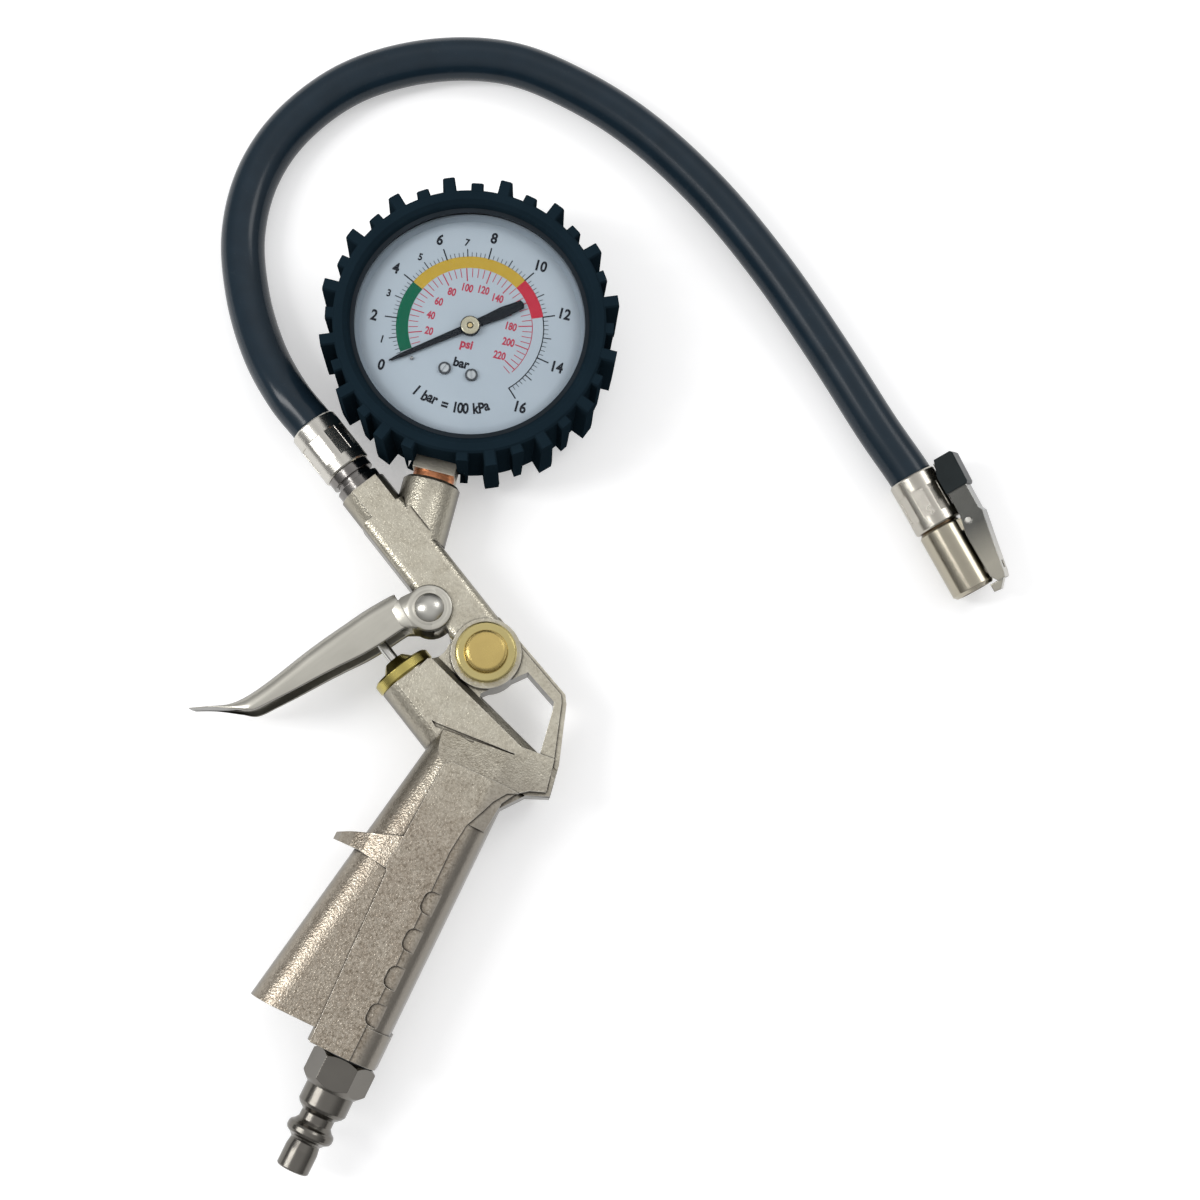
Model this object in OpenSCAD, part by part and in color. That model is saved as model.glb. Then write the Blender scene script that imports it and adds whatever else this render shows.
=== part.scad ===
// Hand-held tyre inflator: die-cast pistol body, squeeze trigger, bleed button,
// dial gauge in a treaded rubber boot, free hose and clip-on valve chuck.
// Lies on its side with the gauge face up. Z is up, z = 0 is the surface below,
// the origin is the centre of the boot's flat back and the inlet points to -Y.

/* [Layout] */
// Height of the body's parting plane above the surface
mid_z = 12.5; // [10:0.5:16]
// Turn of the upper arm about Z
arm_ang = -26; // [-45:0.5:0]
// Turn of the gauge stem about Z
stem_ang = 281.5; // [270:0.5:290]
// Shift of the body, hose and chuck along X from the gauge
body_x = 0.75; // [-2:0.05:2]
// Shift of the body, hose and chuck along Y from the gauge
body_y = -1.4; // [-3:0.05:2]
// Sideways place of the arm's axis in the arm frame
arm_v = -45.3; // [-50:0.1:-40]
// Sideways place of the valve barrel's axis in the arm frame
barrel_v = -65.9; // [-70:0.1:-60]
// Place of the inlet axis along X
inlet_x = 52.35; // [48:0.1:56]

/* [Body casting] */
// Radius of the arm at its hose end
arm_r = 6.5; // [5:0.1:8]
// Half depth of the arm, web and barrel flats
arm_half = 6.6; // [5:0.1:8]
// Where the arm starts, along the arm frame
arm_start = 13.2; // [10:0.1:20]
// Radius of the valve barrel
barrel_r = 7.7; // [6.5:0.1:9]
// Half the depth of the valve barrel over its flats
barrel_half = 7.0; // [6:0.1:7.4]
// Half the depth of the web between arm and barrel
web_half = 5.4; // [4:0.1:6.4]
// Where the barrel's nut face is
barrel_start = 58.8; // [55:0.1:62]
// Half depth of the grip's sides
grip_half = 11.5; // [9:0.5:14]
// Height of the raised side panels
panel_h = 1.0; // [0.4:0.1:2]
// Rounding of the grip's front spine
front_r = 8; // [5:0.5:11]
// Rounding of the grip's rear edge
rear_r = 6.5; // [4:0.5:8]
// Lower end of the grip's air tube
grip_end = -174.7; // [-180:0.1:-165]
// Lower end of the front skirt
skirt_end = -171.2; // [-175:0.1:-160]
// Radius of the gauge boss
gboss_r = 7.5; // [6.5:0.1:9]
// Distance from the gauge case to the gauge boss face
stem_reach = 7.7; // [6:0.1:10]
// Radius of the round relief beside the gland nut
relief_r = 5.4; // [4:0.1:7]
// Half depth of the hanging loop
loop_half = 5.4; // [3:0.1:7]
// Radius of the boss under the bleed button
bboss_r = 8.9; // [8:0.1:11]
// Height of that boss above the parting plane
bboss_h = 8.0; // [7:0.1:11]
// Length of the thumb notches in the panel's rear edge
notch_l = 5.8; // [3:0.1:8]
// Distance between the notches
notch_pitch = 9.8; // [7:0.1:12]

/* [Air ways] */
// Radius of the quarter inch pipe thread at the inlet
inlet_thread_r = 6.5; // [6:0.1:7]
// Radius of the eighth inch pipe thread of gauge and hose
small_thread_r = 4.86; // [4.5:0.01:5.2]
// Radius of the valve chamber
chamber_r = 5.0; // [4:0.1:6]
// Radius of the supply way in the grip
supply_r = 3.5; // [2:0.1:4]
// Radius of the air way in the arm
arm_way_r = 2.5; // [1.5:0.1:3]

/* [Valve] */
// Radius of the valve stem
stem_r = 1.4; // [1:0.05:2]
// Gap round a moving shaft
run_gap = 0.05; // [0.02:0.01:0.1]
// Where the stem's rounded tip is, along the arm frame
stem_tip = 40.8; // [38:0.1:44]
// Radius of the gland nut flange
gland_r = 8.0; // [6:0.1:9]
// Radius of the poppet
poppet_r = 3.8; // [3:0.1:4.5]
// Radius of the air hole in the valve seat
seat_hole_r = 2.6; // [2:0.1:3]
// Where the valve seat starts, along the arm frame
seat_at = 71; // [69:0.1:73]
// Length of the valve seat
seat_l = 4; // [3:0.1:5]
// Thickness of the poppet's seal
seal_t = 1.2; // [0.8:0.1:2]
// Length of the poppet
poppet_l = 3; // [2:0.1:4]
// Inner end of the valve chamber
chamber_end = 92.6; // [90:0.1:94]

/* [Bleed button] */
// Place along the arm frame
bleed_u = 67; // [60:0.1:72]
// Place across the arm frame
bleed_v = -47.1; // [-50:0.1:-44]
// Radius of the brass collar
bleed_ring_r = 7.7; // [7:0.1:9]
// Radius of the button
bleed_r = 5.2; // [4:0.1:6]

/* [Trigger] */
// Sheet thickness
sheet = 1.2; // [0.8:0.1:2]
// Pivot along the arm frame
piv_u = 49.1; // [45:0.1:54]
// Pivot across the arm frame
piv_v = -51.2; // [-55:0.1:-48]
// Radius of the ears
ear_r = 5.9; // [5:0.1:8]
// Radius of the rivet
rivet_r = 2.0; // [1.5:0.1:3]
// Radius of the rivet heads
rivet_head_r = 3.7; // [3:0.1:5]
// Half width inside the channel
trig_in = 6.9; // [6.7:0.1:8]

/* [Inlet plug] */
// Width across the flats
plug_af = 14.4; // [12:0.1:17]
// Radius of the shank
plug_shank_r = 6.25; // [5:0.05:7]
// Radius of the locking groove
plug_neck_r = 4.3; // [3.5:0.1:5]
// Radius of the collar
plug_collar_r = 6.0; // [5:0.1:7]
// Radius of the nose where it seals
plug_nose_r = 4.15; // [3.5:0.05:5]
// Lower end of the nose
plug_end = -204.5; // [-210:0.1:-200]

/* [Gauge] */
// Radius of the steel case
case_r = 31.4; // [28:0.1:34]
// Thickness of the case
case_wall = 1.0; // [0.6:0.1:1.6]
// Height of the case rim
case_top = 25.0; // [23:0.1:28]
// Thickness of the bezel round the case
bezel_wall = 0.7; // [0.5:0.1:1.2]
// Height of the bezel's inturned lip
bezel_lip = 0.8; // [0.5:0.1:1.5]
// How far the bezel's lip covers the window's edge
window_lip = 2.2; // [1:0.1:4]
// Thickness of the window's gasket
gasket_t = 1.7; // [1:0.1:3]
// Thickness of the window
lens_t = 1.4; // [1:0.1:3]
// Depth of the dial's face below the case rim
dial_drop = 0.4; // [0.2:0.1:2]
// Gap between the dial and the case
dial_gap = 0.8; // [0.4:0.1:1.5]
// Distance of the two dial screws from the gauge's axis, toward its stem
dial_screw_s = 12.2; // [10:0.1:13.5]
// Width of the square gauge socket
socket_w = 11; // [9:0.5:14]
// Turn of the pointer at zero about Z
zero_ang = 230; // [200:0.5:240]

/* [Gauge movement] */
// Gear module
gear_m = 0.35; // [0.3:0.01:0.5]
// Teeth of the pinion
pinion_z = 10; // [8:1:14]
// Teeth of a full sector wheel
sector_z = 60; // [48:1:72]
// Teeth cut on the sector
sector_cut = 10; // [8:1:12]
// Gap between tooth flanks
backlash = 0.06; // [0.02:0.01:0.12]
// Radius of the pointer shaft
arbor_r = 0.6; // [0.4:0.05:1]
// Distance from the case to the middle of the pressure tube
tube_gap = 5.9; // [4:0.1:8]

/* [Rubber boot] */
// Thickness of the boot's wall over the case
boot_wall = 3.1; // [2:0.1:5]
// Height of the boot's rim over the bezel
boot_lip = 2.1; // [1.2:0.1:3]
// Thickness of the boot's back
boot_back = 2.5; // [1.5:0.1:4]
// Height of the bevel round the boot's back edge
boot_bevel = 6.0; // [3:0.5:10]
// Width of the bezel ring that the boot leaves open
boot_open = 1.2; // [0.4:0.1:2]
// Reach of the tall tread lugs beyond the wall
lug_reach = 3.5; // [2:0.1:5]
// Reach of the low tread lugs beyond the wall
low_lug_reach = 1.9; // [0.5:0.1:3]
// Number of tall lugs round the boot
lug_count = 16; // [10:1:20]
// Turn of the first tall lug about Z
lug_ang = 34.3; // [0:0.1:45]

/* [Hose] */
// Radius of the hose
hose_r = 5.75; // [4:0.05:8]
// Radius of the hose under a crimped ferrule
hose_pinch_r = 5.45; // [4:0.05:8]
// Radius of the hose bore
hose_bore_r = 3.5; // [2:0.1:5]
// Radius of the body's ferrule
ferrule_r = 6.5; // [6:0.1:8]
// Radius of the chuck's ferrule
chuck_ferrule_r = 6.4; // [6:0.1:8]
// Length of a ferrule
ferrule_l = 14.8; // [10:0.1:20]

/* [Chuck] */
// Place of the chuck's hose end along X
chuck_x = 119; // [100:0.5:140]
// Place of the chuck's hose end along Y
chuck_y = 21.4; // [0:0.1:40]
// Turn of the chuck about Z
chuck_ang = -36.3; // [-90:0.1:0]
// Roll of the clip lever about the chuck's axis
clip_roll = 25; // [0:1:90]
// Radius of the chuck body
chuck_r = 6.0; // [5:0.1:8]
// Length from hose end to mouth
chuck_l = 34.3; // [30:0.1:40]
// Radius of the mouth, a tyre valve stem fits in it
mouth_r = 4.2; // [4:0.05:4.5]
// Depth of the mouth
mouth_l = 10; // [8:0.5:14]
// Radius of the seal's seat behind the mouth
seal_seat_r = 3.9; // [3.5:0.1:4.1]
// Length of that seat
seal_seat_l = 1.8; // [1:0.1:2.5]
// Place of the clip pin along the chuck
clip_pin_a = 17.5; // [15:0.1:25]
// Distance of the clip pin from the chuck's axis
clip_pin_r = 8.0; // [7:0.1:9]
// Distance of the clip's outer sheet from the chuck's axis at its cap
clip_out_r = 12.4; // [10:0.1:14]

/* [Hidden] */
$fn = 64;
eps = 0.01;

gboss_s = case_r + stem_reach;
bezel_r = case_r + bezel_wall;
window_r = case_r - window_lip;
lens_z = case_top + gasket_t;
bezel_low = case_top - 5.3;
bezel_top = lens_z + lens_t + bezel_lip;
dial_z = case_top - dial_drop;
dial_r = case_r - case_wall - dial_gap;
tube_r = case_r - tube_gap;
boot_r = case_r + boot_wall;
boot_h = bezel_top + boot_lip;
boot_open_r = window_r + boot_open;
lug_r = boot_r + lug_reach;
low_lug_r = boot_r + low_lug_reach;
bevel_in = 2 / 3 * boot_bevel;
case_bevel = boot_bevel - 1.5;
gear_dist = gear_m * (pinion_z + sector_z) / 2;
sector_x = 9.6;
sector_y = -sqrt(gear_dist * gear_dist - sector_x * sector_x);
sector_dir = atan2(-sector_y, -sector_x);
chuck_z = chuck_ferrule_r + 0.02;
clip_half = 4.3;
clip_sheet = 0.9;
hose_start_u = arm_start - 6.4 - ferrule_l;
poppet_at = seat_at + seat_l + seal_t;
oring_out = 2.6;

// ---- frames -------------------------------------------------------------

// Arm frame: x along the arm from the hose end, y across it, z from the parting plane
module arm_frame() { translate([body_x, body_y, mid_z]) rotate([0, 0, arm_ang]) children(); }

// Grip frame: x across the grip, y up along it, z from the parting plane
module grip_frame() { translate([body_x, body_y, mid_z]) children(); }

// Stem frame: x from the gauge axis along its stem, z from the parting plane
module stem_frame() { translate([0, 0, mid_z]) rotate([0, 0, stem_ang]) children(); }

// Chuck frame: x from the hose end to the mouth
module chuck_frame() {
  translate([chuck_x + body_x, chuck_y + body_y, chuck_z]) rotate([0, 0, chuck_ang]) children();
}

// Clip frame: x along the chuck, z away from its axis through the clip lever
module clip_frame() { chuck_frame() rotate([clip_roll - 90, 0, 0]) children(); }

// Rod along x from a to b
module rod(a, b, r, r2 = -1) {
  translate([a, 0, 0]) rotate([0, 90, 0]) cylinder(h = b - a, r1 = r, r2 = (r2 < 0 ? r : r2));
}

// Plate from a plan outline, symmetrical about the parting plane
module slab(pts, half) { translate([0, 0, -half]) linear_extrude(2 * half) polygon(pts); }

// Bar along x from a to b, w wide and h high, with its four long edges rounded
module soft_bar(a, b, w, h, r) {
  translate([a, -w / 2, -h / 2 + r]) cube([b - a, w, h - 2 * r]);
  translate([a, -w / 2 + r, -h / 2]) cube([b - a, w - 2 * r, h]);
  for (i = [-1, 1], j = [-1, 1])
    translate([0, i * (w / 2 - r), j * (h / 2 - r)]) rod(a, b, r);
}

// Unit normal left of the step from p to q
function left_of(p, q) = let (d = q - p) [-d[1], d[0]] / norm(d);
// Outline of a strip of thickness t to the left of a line of points
function strip(p, t) = concat(p, [for (k = [len(p) - 1:-1:0])
  let (n1 = k > 0 ? left_of(p[k - 1], p[k]) : left_of(p[0], p[1]),
       n2 = k < len(p) - 1 ? left_of(p[k], p[k + 1]) : n1, n = (n1 + n2) / norm(n1 + n2))
  p[k] + n * t / (n * n1)]);

// Tube or rod through rings of points: outer rings, and inner rings if hollow
module skin(rings, inner = []) {
  s = len(rings[0]);
  n = len(rings);
  h = len(inner) > 0;
  pts = concat([for (r = rings, p = r) p], h ? [for (r = inner, p = r) p] : []);
  o = n * s;
  faces = concat(
    [for (i = [0:n - 2], j = [0:s - 1]) [i * s + j, i * s + (j + 1) % s, (i + 1) * s + j]],
    [for (i = [0:n - 2], j = [0:s - 1])
      [i * s + (j + 1) % s, (i + 1) * s + (j + 1) % s, (i + 1) * s + j]],
    h ? [for (i = [0:n - 2], j = [0:s - 1])
      [o + i * s + j, o + (i + 1) * s + j, o + i * s + (j + 1) % s]] : [],
    h ? [for (i = [0:n - 2], j = [0:s - 1])
      [o + i * s + (j + 1) % s, o + (i + 1) * s + j, o + (i + 1) * s + (j + 1) % s]] : [],
    h ? [for (j = [0:s - 1]) [j, o + j, o + (j + 1) % s]] : [],
    h ? [for (j = [0:s - 1]) [j, o + (j + 1) % s, (j + 1) % s]] : [],
    h ? [for (j = [0:s - 1]) [o - s + j, o - s + (j + 1) % s, 2 * o - s + (j + 1) % s]] : [],
    h ? [for (j = [0:s - 1]) [o - s + j, 2 * o - s + (j + 1) % s, 2 * o - s + j]] : [],
    h ? [] : [[for (j = [s - 1:-1:0]) j]],
    h ? [] : [[for (j = [0:s - 1]) o - s + j]]);
  polyhedron(points = pts, faces = faces, convexity = 8);
}

// Coil spring along z with closed ends: mean radius r, wire radius w, length l, n turns
module coil(r, w, l, n, per = 12, s = 6) {
  steps = n * per;
  skin([for (k = [0:steps])
    let (a = 360 * k / per, f = k / steps,
         e = min(1, max(0, (f - 1 / n) / (1 - 2 / n))),
         lift = w + 2.1 * w * min(f, 1 / n) * n + (l - 2 * w - 4.2 * w) * e
                + 2.1 * w * max(0, f - 1 + 1 / n) * n)
    [for (j = [0:s - 1]) let (b = 360 * j / s)
      [(r + w * cos(b)) * cos(a), (r + w * cos(b)) * sin(a), lift + w * sin(b)]]]);
}

// ---- gears --------------------------------------------------------------

gear_pa = 25;
function inv_deg(a) = tan(a) * 180 / PI - a;
// Half angle of a tooth of an N tooth gear at radius r
function tooth_half(n, r) = let (rp = gear_m * n / 2, rb = rp * cos(gear_pa), rr = max(r, rb))
  90 / n - backlash / 4 / rp * 180 / PI + inv_deg(gear_pa) - inv_deg(acos(rb / rr));
// Outline of a tooth centred on angle c
function tooth(n, c) = let (rp = gear_m * n / 2, r0 = rp - 1.15 * gear_m, r1 = rp + 0.8 * gear_m)
  concat([for (k = [0:4]) let (r = r0 + (r1 - r0) * k / 4, t = tooth_half(n, r))
            [r * cos(c - t), r * sin(c - t)]],
         [for (k = [4:-1:0]) let (r = r0 + (r1 - r0) * k / 4, t = tooth_half(n, r))
            [r * cos(c + t), r * sin(c + t)]]);

// ---- casting ------------------------------------------------------------

// Front spine of the grip, top and bottom of its axis
front_a = [44.6, -99.3];
front_b = [32.9, -170.4];
front_len = norm(front_b - front_a);
front_ang = atan2(front_b[1] - front_a[1], front_b[0] - front_a[0]);
rear_x = 60.1 - rear_r;

// Rear edge of the hand part, set in a little from the air tube's
grip_rear = rear_x - 0.5;

module grip_blank() {
  for (i = [-1, 1])
    translate([front_a[0], front_a[1], i * (grip_half - front_r)])
      rotate([0, 0, front_ang]) rod(-6, front_len + 3, front_r);
  // flat of the front between its two rounded edges, and the side slabs
  translate([front_a[0], front_a[1], 0]) rotate([0, 0, front_ang])
    translate([-6, -front_r, -(grip_half - front_r)])
      cube([front_len + 9, front_r + 2, 2 * (grip_half - front_r)]);
  slab([front_a + [0.9, 5.9], [grip_rear, -92], [grip_rear, skirt_end - 2],
        [47, skirt_end - 2], front_b + [-0.5, -3]], grip_half);
  // rear edge
  for (i = [-1, 1])
    translate([grip_rear, 0, i * (grip_half - rear_r)]) rotate([90, 0, 0])
      translate([0, 0, 92]) cylinder(h = 84, r = rear_r);
  slab([[grip_rear - 1, -92], [grip_rear + rear_r, -92], [grip_rear + rear_r, -176],
        [grip_rear - 1, -176]], grip_half - rear_r);
  // ledge over the hand
  slab([[46, -90], [66.5, -88], [68.2, -96.6], [64.4, -98.1], [61.6, -100.3], [59.6, -103.8],
        [58.8, -112], [50, -112]], grip_half);
}

module air_tube_blank() {
  for (i = [-1, 1]) {
    translate([46.2, 0, i * (grip_half - 4)]) rotate([90, 0, 0])
      translate([0, 0, 150]) cylinder(h = -grip_end - 150, r = 4);
    translate([rear_x, 0, i * (grip_half - rear_r)]) rotate([90, 0, 0])
      translate([0, 0, 166]) cylinder(h = -grip_end - 166, r = rear_r);
  }
  slab([[42.2, -150], [50, -150], [50, -166], [60.1, -166], [60.1, grip_end], [42.2, grip_end]],
       grip_half - rear_r);
  slab([[42.2, -150], [50, -150], [50, grip_end], [42.2, grip_end]], grip_half - 4);
  slab([[46.2, -150], [50, -150], [50, -166], [rear_x, -166], [rear_x, grip_end],
        [46.2, grip_end]], grip_half);
}

// Depth of the body seen from its back edge: thin shoulder, ramp, deep grip
shoulder_half = barrel_half - 0.12;
module depth_profile() {
  rotate([0, 0, 6]) translate([0, 0, 0]) rotate([90, 0, 90]) translate([0, 0, -60])
    linear_extrude(220) polygon([
      [-60, shoulder_half], [-96.2, shoulder_half], [-105.6, grip_half], [-215, grip_half],
      [-215, -grip_half], [-105.6, -grip_half], [-96.2, -shoulder_half], [-60, -shoulder_half]]);
}

panel_pts = [[42.6, -101.4], [44.1, -100.1], [57, -99.7], [62.4, -99.9], [59.8, -101.2],
  [57.6, -104.4], [56.2, -108.0], [54.2, -112.6], [53.4, -120], [53.8, -150], [53.8, grip_end],
  [43.3, grip_end], [41.7, -131], [40.7, -128.9], [41.5, -124.8]];

module side_panel() {
  translate([0, 0, -2]) linear_extrude(panel_h + 2) polygon(panel_pts);
}

// One thumb notch: round at its inner end and open to the rear
module notch_cut(h) {
  linear_extrude(h) {
    translate([2, -notch_l / 2]) square([8, notch_l]);
    translate([0, -notch_l / 2 + 2]) square([4, notch_l - 4]);
    for (i = [-1, 1]) translate([2, i * (notch_l / 2 - 2)]) circle(r = 2, $fn = 32);
  }
}

// Pointed finger rest on the front of the grip, level with the side panels
fin_half = grip_half + panel_h - 0.05;
module finger_rest() {
  intersection() {
    slab([[25.5, -129.3], [25.5, -127.4], [29, -125.8], [42.2, -121.2], [46, -121.2],
          [46, -130.1], [41.0, -130.1], [33, -129.1]], fin_half);
    rotate([90, 0, 0]) translate([0, 0, 110]) linear_extrude(30)
      polygon([[25.4, -1.4], [25.4, 1.4], [27, 4.4], [30.5, 8.0], [34, 10.2], [38, 11.6],
               [42.6, fin_half], [50, fin_half], [50, -fin_half], [42.6, -fin_half], [38, -11.6],
               [34, -10.2], [30.5, -8.0], [27, -4.4]]);
  }
}

frame_pts = [[58, -40.4], [61.7, -38.5], [87.2, -37.6], [89.3, -38.9], [100.2, -49.9],
  [105.1, -56.7], [101.0, -61.3], [92, -67], [70, -67], [59.2, -64], [59.2, -52], [54, -46]];
loop_pts = [[77.0, -41.6], [86.9, -41.1], [88.0, -42.1], [95.0, -51.9], [94.6, -52.6],
  [74.6, -55.0], [73.9, -54.3]];

module casting_outside() {
  arm_frame() {
    // arm: round at the hose, then a bar with rounded edges
    translate([0, arm_v, 0]) {
      rod(arm_start, 24, arm_r);
      translate([arm_start, -3.0, -arm_half]) cube([9, 7.4, 2 * arm_half]);
      translate([21.6, 0, 0]) soft_bar(0, 44, 2 * arm_r, 2 * arm_half, 2.4);
    }
    // web, loop and horn
    difference() {
      union() {
        slab(frame_pts, loop_half - 0.8);
        slab([[58, -41.2], [61.7, -39.3], [86.7, -38.6], [88.3, -39.7], [99.1, -50.8],
              [103.3, -56.8], [99.8, -60.6], [92, -66], [70, -66], [59.2, -64], [59.2, -52],
              [54, -46]], loop_half);
      }
      translate([0, 0, -20]) linear_extrude(40) polygon(loop_pts);
    }
    slab([[46, -42], [73.5, -41.4], [73.2, -53.6], [73.6, -62], [59.2, -62], [59.2, -52],
          [46, -48]], web_half);
    // lug under the trigger pivot
    translate([piv_u, piv_v, -arm_half]) cylinder(h = 2 * arm_half, r = 5.0);
    // valve barrel: round toward the trigger, flat on top, with a bevelled edge by the web
    intersection() {
      union() {
        translate([0, barrel_v, 0]) rod(barrel_start, 106, barrel_r);
        translate([61.8, -58.3, 0]) rotate([0, 0, 7.2]) rotate([90, 0, 90])
          translate([0, 0, -3]) linear_extrude(47) polygon(concat(
            [[-8, -barrel_half], [0, -barrel_half], [2, 2 - barrel_half]],
            [[2, barrel_half - 2], [0, barrel_half], [-8, barrel_half]]));
      }
      slab([[50, -80], [50, -44], [96, -44], [100.2, -49.9], [104.9, -56.7], [101.0, -61.3],
            [97, -80]], barrel_half);
    }
    // boss of the bleed button
    translate([bleed_u, bleed_v, -arm_half]) cylinder(h = arm_half + bboss_h, r = bboss_r);
  }
  // boss of the gauge, with a turned edge
  difference() {
    stem_frame() {
      rod(gboss_s, gboss_s + 0.8, gboss_r - 0.8, gboss_r);
      rod(gboss_s + 0.8, 55, gboss_r);
    }
    arm_frame() for (s = [0, 1]) mirror([0, 0, s])
      translate([arm_start, arm_v - arm_r - 3, arm_half - 0.1]) cube([60, 2 * arm_r + 3, 10]);
  }
  grip_frame() {
    intersection() {
      grip_blank();
      depth_profile();
      slab([[-10, -60], [110, -60], [110, skirt_end], [-10, skirt_end]], 30);
    }
    air_tube_blank();
    finger_rest();
    for (s = [0, 1]) mirror([0, 0, s]) translate([0, 0, grip_half - eps]) side_panel();
  }
}

module body_casting() color([0.66, 0.64, 0.60]) difference() {
  casting_outside();
  arm_frame() {
    // round relief beside the gland nut
    translate([54.7, -56.0, -20]) cylinder(h = 40, r = relief_r);
    translate([50, barrel_v - 8.4, -20]) cube([barrel_start - 50, 15.6, 40]);
    // trigger pivot hole
    translate([piv_u, piv_v, -20]) cylinder(h = 40, r = rivet_r + run_gap);
    // hose thread and arm air way
    translate([0, arm_v, 0]) {
      rod(arm_start - 1, 23, small_thread_r);
      rod(22, 71, arm_way_r);
    }
    // bleed valve
    translate([bleed_u, bleed_v, 2.6]) cylinder(h = 20, r = 5.6);
    translate([bleed_u, bleed_v, -2.4]) cylinder(h = 6, r = 3.0);
    // valve chamber and its way to the arm
    translate([0, barrel_v, 0]) rod(barrel_start - 1, chamber_end, chamber_r);
    translate([seat_at - 1.5, barrel_v, 0]) rotate([-90, 0, 0]) cylinder(h = arm_v - barrel_v, r = 1.4);
  }
  // gauge thread and its air way
  stem_frame() {
    rod(gboss_s - 1, gboss_s + 11, small_thread_r);
    rod(gboss_s + 10, 57.2, 1.5);
  }
  // inlet thread and supply way
  grip_frame() translate([inlet_x, 0, 0]) rotate([90, 0, 0]) {
    translate([0, 0, -grip_end - 12]) cylinder(h = 20, r = inlet_thread_r);
    translate([0, 0, 98.5]) cylinder(h = 70, r = supply_r);
  }
  // crease where the barrel's flat meets the shoulder
  grip_frame() for (s = [0, 1]) mirror([0, 0, s]) translate([0, 0, barrel_half - 0.7])
    linear_extrude(6) polygon([[34.6, -92.55], [36.4, -92.65], [57.2, -91.15], [56.8, -91.55],
                               [36.2, -93.65]]);
  // thumb notches on both sides
  grip_frame() for (s = [0, 1], k = [0:3]) mirror([0, 0, s])
    translate([52.6, -133.1 - k * notch_pitch, grip_half - 0.8]) notch_cut(8);
}

// ---- inlet --------------------------------------------------------------

module inlet_plug() color([0.36, 0.35, 0.33])
grip_frame() translate([inlet_x, 0, 0]) rotate([90, 0, 0]) difference() {
  union() {
    // thread in the grip
    translate([0, 0, -grip_end - 11]) cylinder(h = 11.8, r = inlet_thread_r);
    // hexagon with turned corners
    intersection() {
      translate([0, 0, 175.5]) cylinder(h = 8.4, r = plug_af / sqrt(3), $fn = 6);
      translate([0, 0, 175.5]) union() {
        cylinder(h = 1, r1 = plug_af / 2, r2 = plug_af / 2 + 1.3);
        translate([0, 0, 1]) cylinder(h = 5.4, r = plug_af / 2 + 1.3);
        translate([0, 0, 6.4]) cylinder(h = 2, r1 = plug_af / 2 + 1.3, r2 = plug_af / 2 - 0.7);
      }
    }
    // shank, locking groove, collar and nose
    rotate_extrude() polygon([[0, 183], [plug_shank_r, 183], [plug_shank_r, 188.4],
      [plug_shank_r - 0.5, 189.2], [plug_neck_r, 190.4], [plug_neck_r, 192.3],
      [5.0, 193.2], [plug_collar_r - 0.3, 193.7], [plug_collar_r, 194.3], [plug_collar_r, 195.3],
      [plug_collar_r - 0.3, 195.9], [4.6, 196.6], [3.8, 197.4], [plug_nose_r, 199.4],
      [plug_nose_r, -plug_end - 0.3], [plug_nose_r - 0.3, -plug_end], [0, -plug_end]]);
  }
  translate([0, 0, 160]) cylinder(h = 50, r = 2.4);
}

module inlet_seal() color([0.1, 0.1, 0.1])
grip_frame() translate([inlet_x, 0, 0]) rotate([90, 0, 0]) translate([0, 0, -grip_end])
difference() {
  cylinder(h = 0.8, r = 7.0);
  translate([0, 0, -1]) cylinder(h = 3, r = inlet_thread_r);
}

// ---- valve --------------------------------------------------------------

module gland_nut() color([0.72, 0.6, 0.3]) arm_frame() translate([0, barrel_v, 0]) difference() {
  union() {
    rod(barrel_start - 5.6, barrel_start - 3.1, 2.7, 5.0);
    rod(barrel_start - 3.1, barrel_start - 2.6, gland_r - 0.5, gland_r);
    rod(barrel_start - 2.6, barrel_start - 0.5, gland_r);
    rod(barrel_start - 0.5, barrel_start, gland_r, gland_r - 0.5);
    rod(barrel_start, barrel_start + 9.2, chamber_r);
  }
  rod(barrel_start - 9, barrel_start + 11, stem_r + run_gap);
  rod(barrel_start + 3.2, barrel_start + 5.0, oring_out);
}

module stem_oring() color([0.08, 0.08, 0.08]) arm_frame()
  translate([barrel_start + 4.1, barrel_v, 0]) rotate([0, 90, 0]) rotate_extrude()
    translate([(stem_r + oring_out) / 2 + 0.02, 0]) circle(r = (oring_out - stem_r) / 2 - 0.04, $fn = 24);

module valve_stem() color([0.75, 0.75, 0.74]) arm_frame() translate([0, barrel_v, 0])
  rotate([0, 90, 0]) rotate_extrude() polygon([[0, stem_tip], [0.8, stem_tip],
    [stem_r, stem_tip + 0.6], [stem_r, poppet_at], [poppet_r, poppet_at],
    [poppet_r, poppet_at + poppet_l], [2.0, poppet_at + poppet_l], [2.0, poppet_at + 5.8],
    [0, poppet_at + 5.8]]);

module poppet_seal() color([0.08, 0.08, 0.08]) arm_frame() translate([0, barrel_v, 0])
difference() {
  rod(seat_at + seat_l, poppet_at, poppet_r);
  rod(seat_at + seat_l - 1, poppet_at + 1, stem_r);
}

module valve_seat() color([0.72, 0.6, 0.3]) arm_frame() translate([0, barrel_v, 0]) difference() {
  rod(seat_at, seat_at + seat_l, chamber_r);
  rod(seat_at - 1, seat_at + seat_l + 1, seat_hole_r);
}

module valve_spring() color([0.7, 0.7, 0.7]) arm_frame()
  translate([poppet_at + poppet_l, barrel_v, 0]) rotate([0, 90, 0])
    coil(r = 3.3, w = 0.4, l = chamber_end - poppet_at - poppet_l, n = 7);

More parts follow.
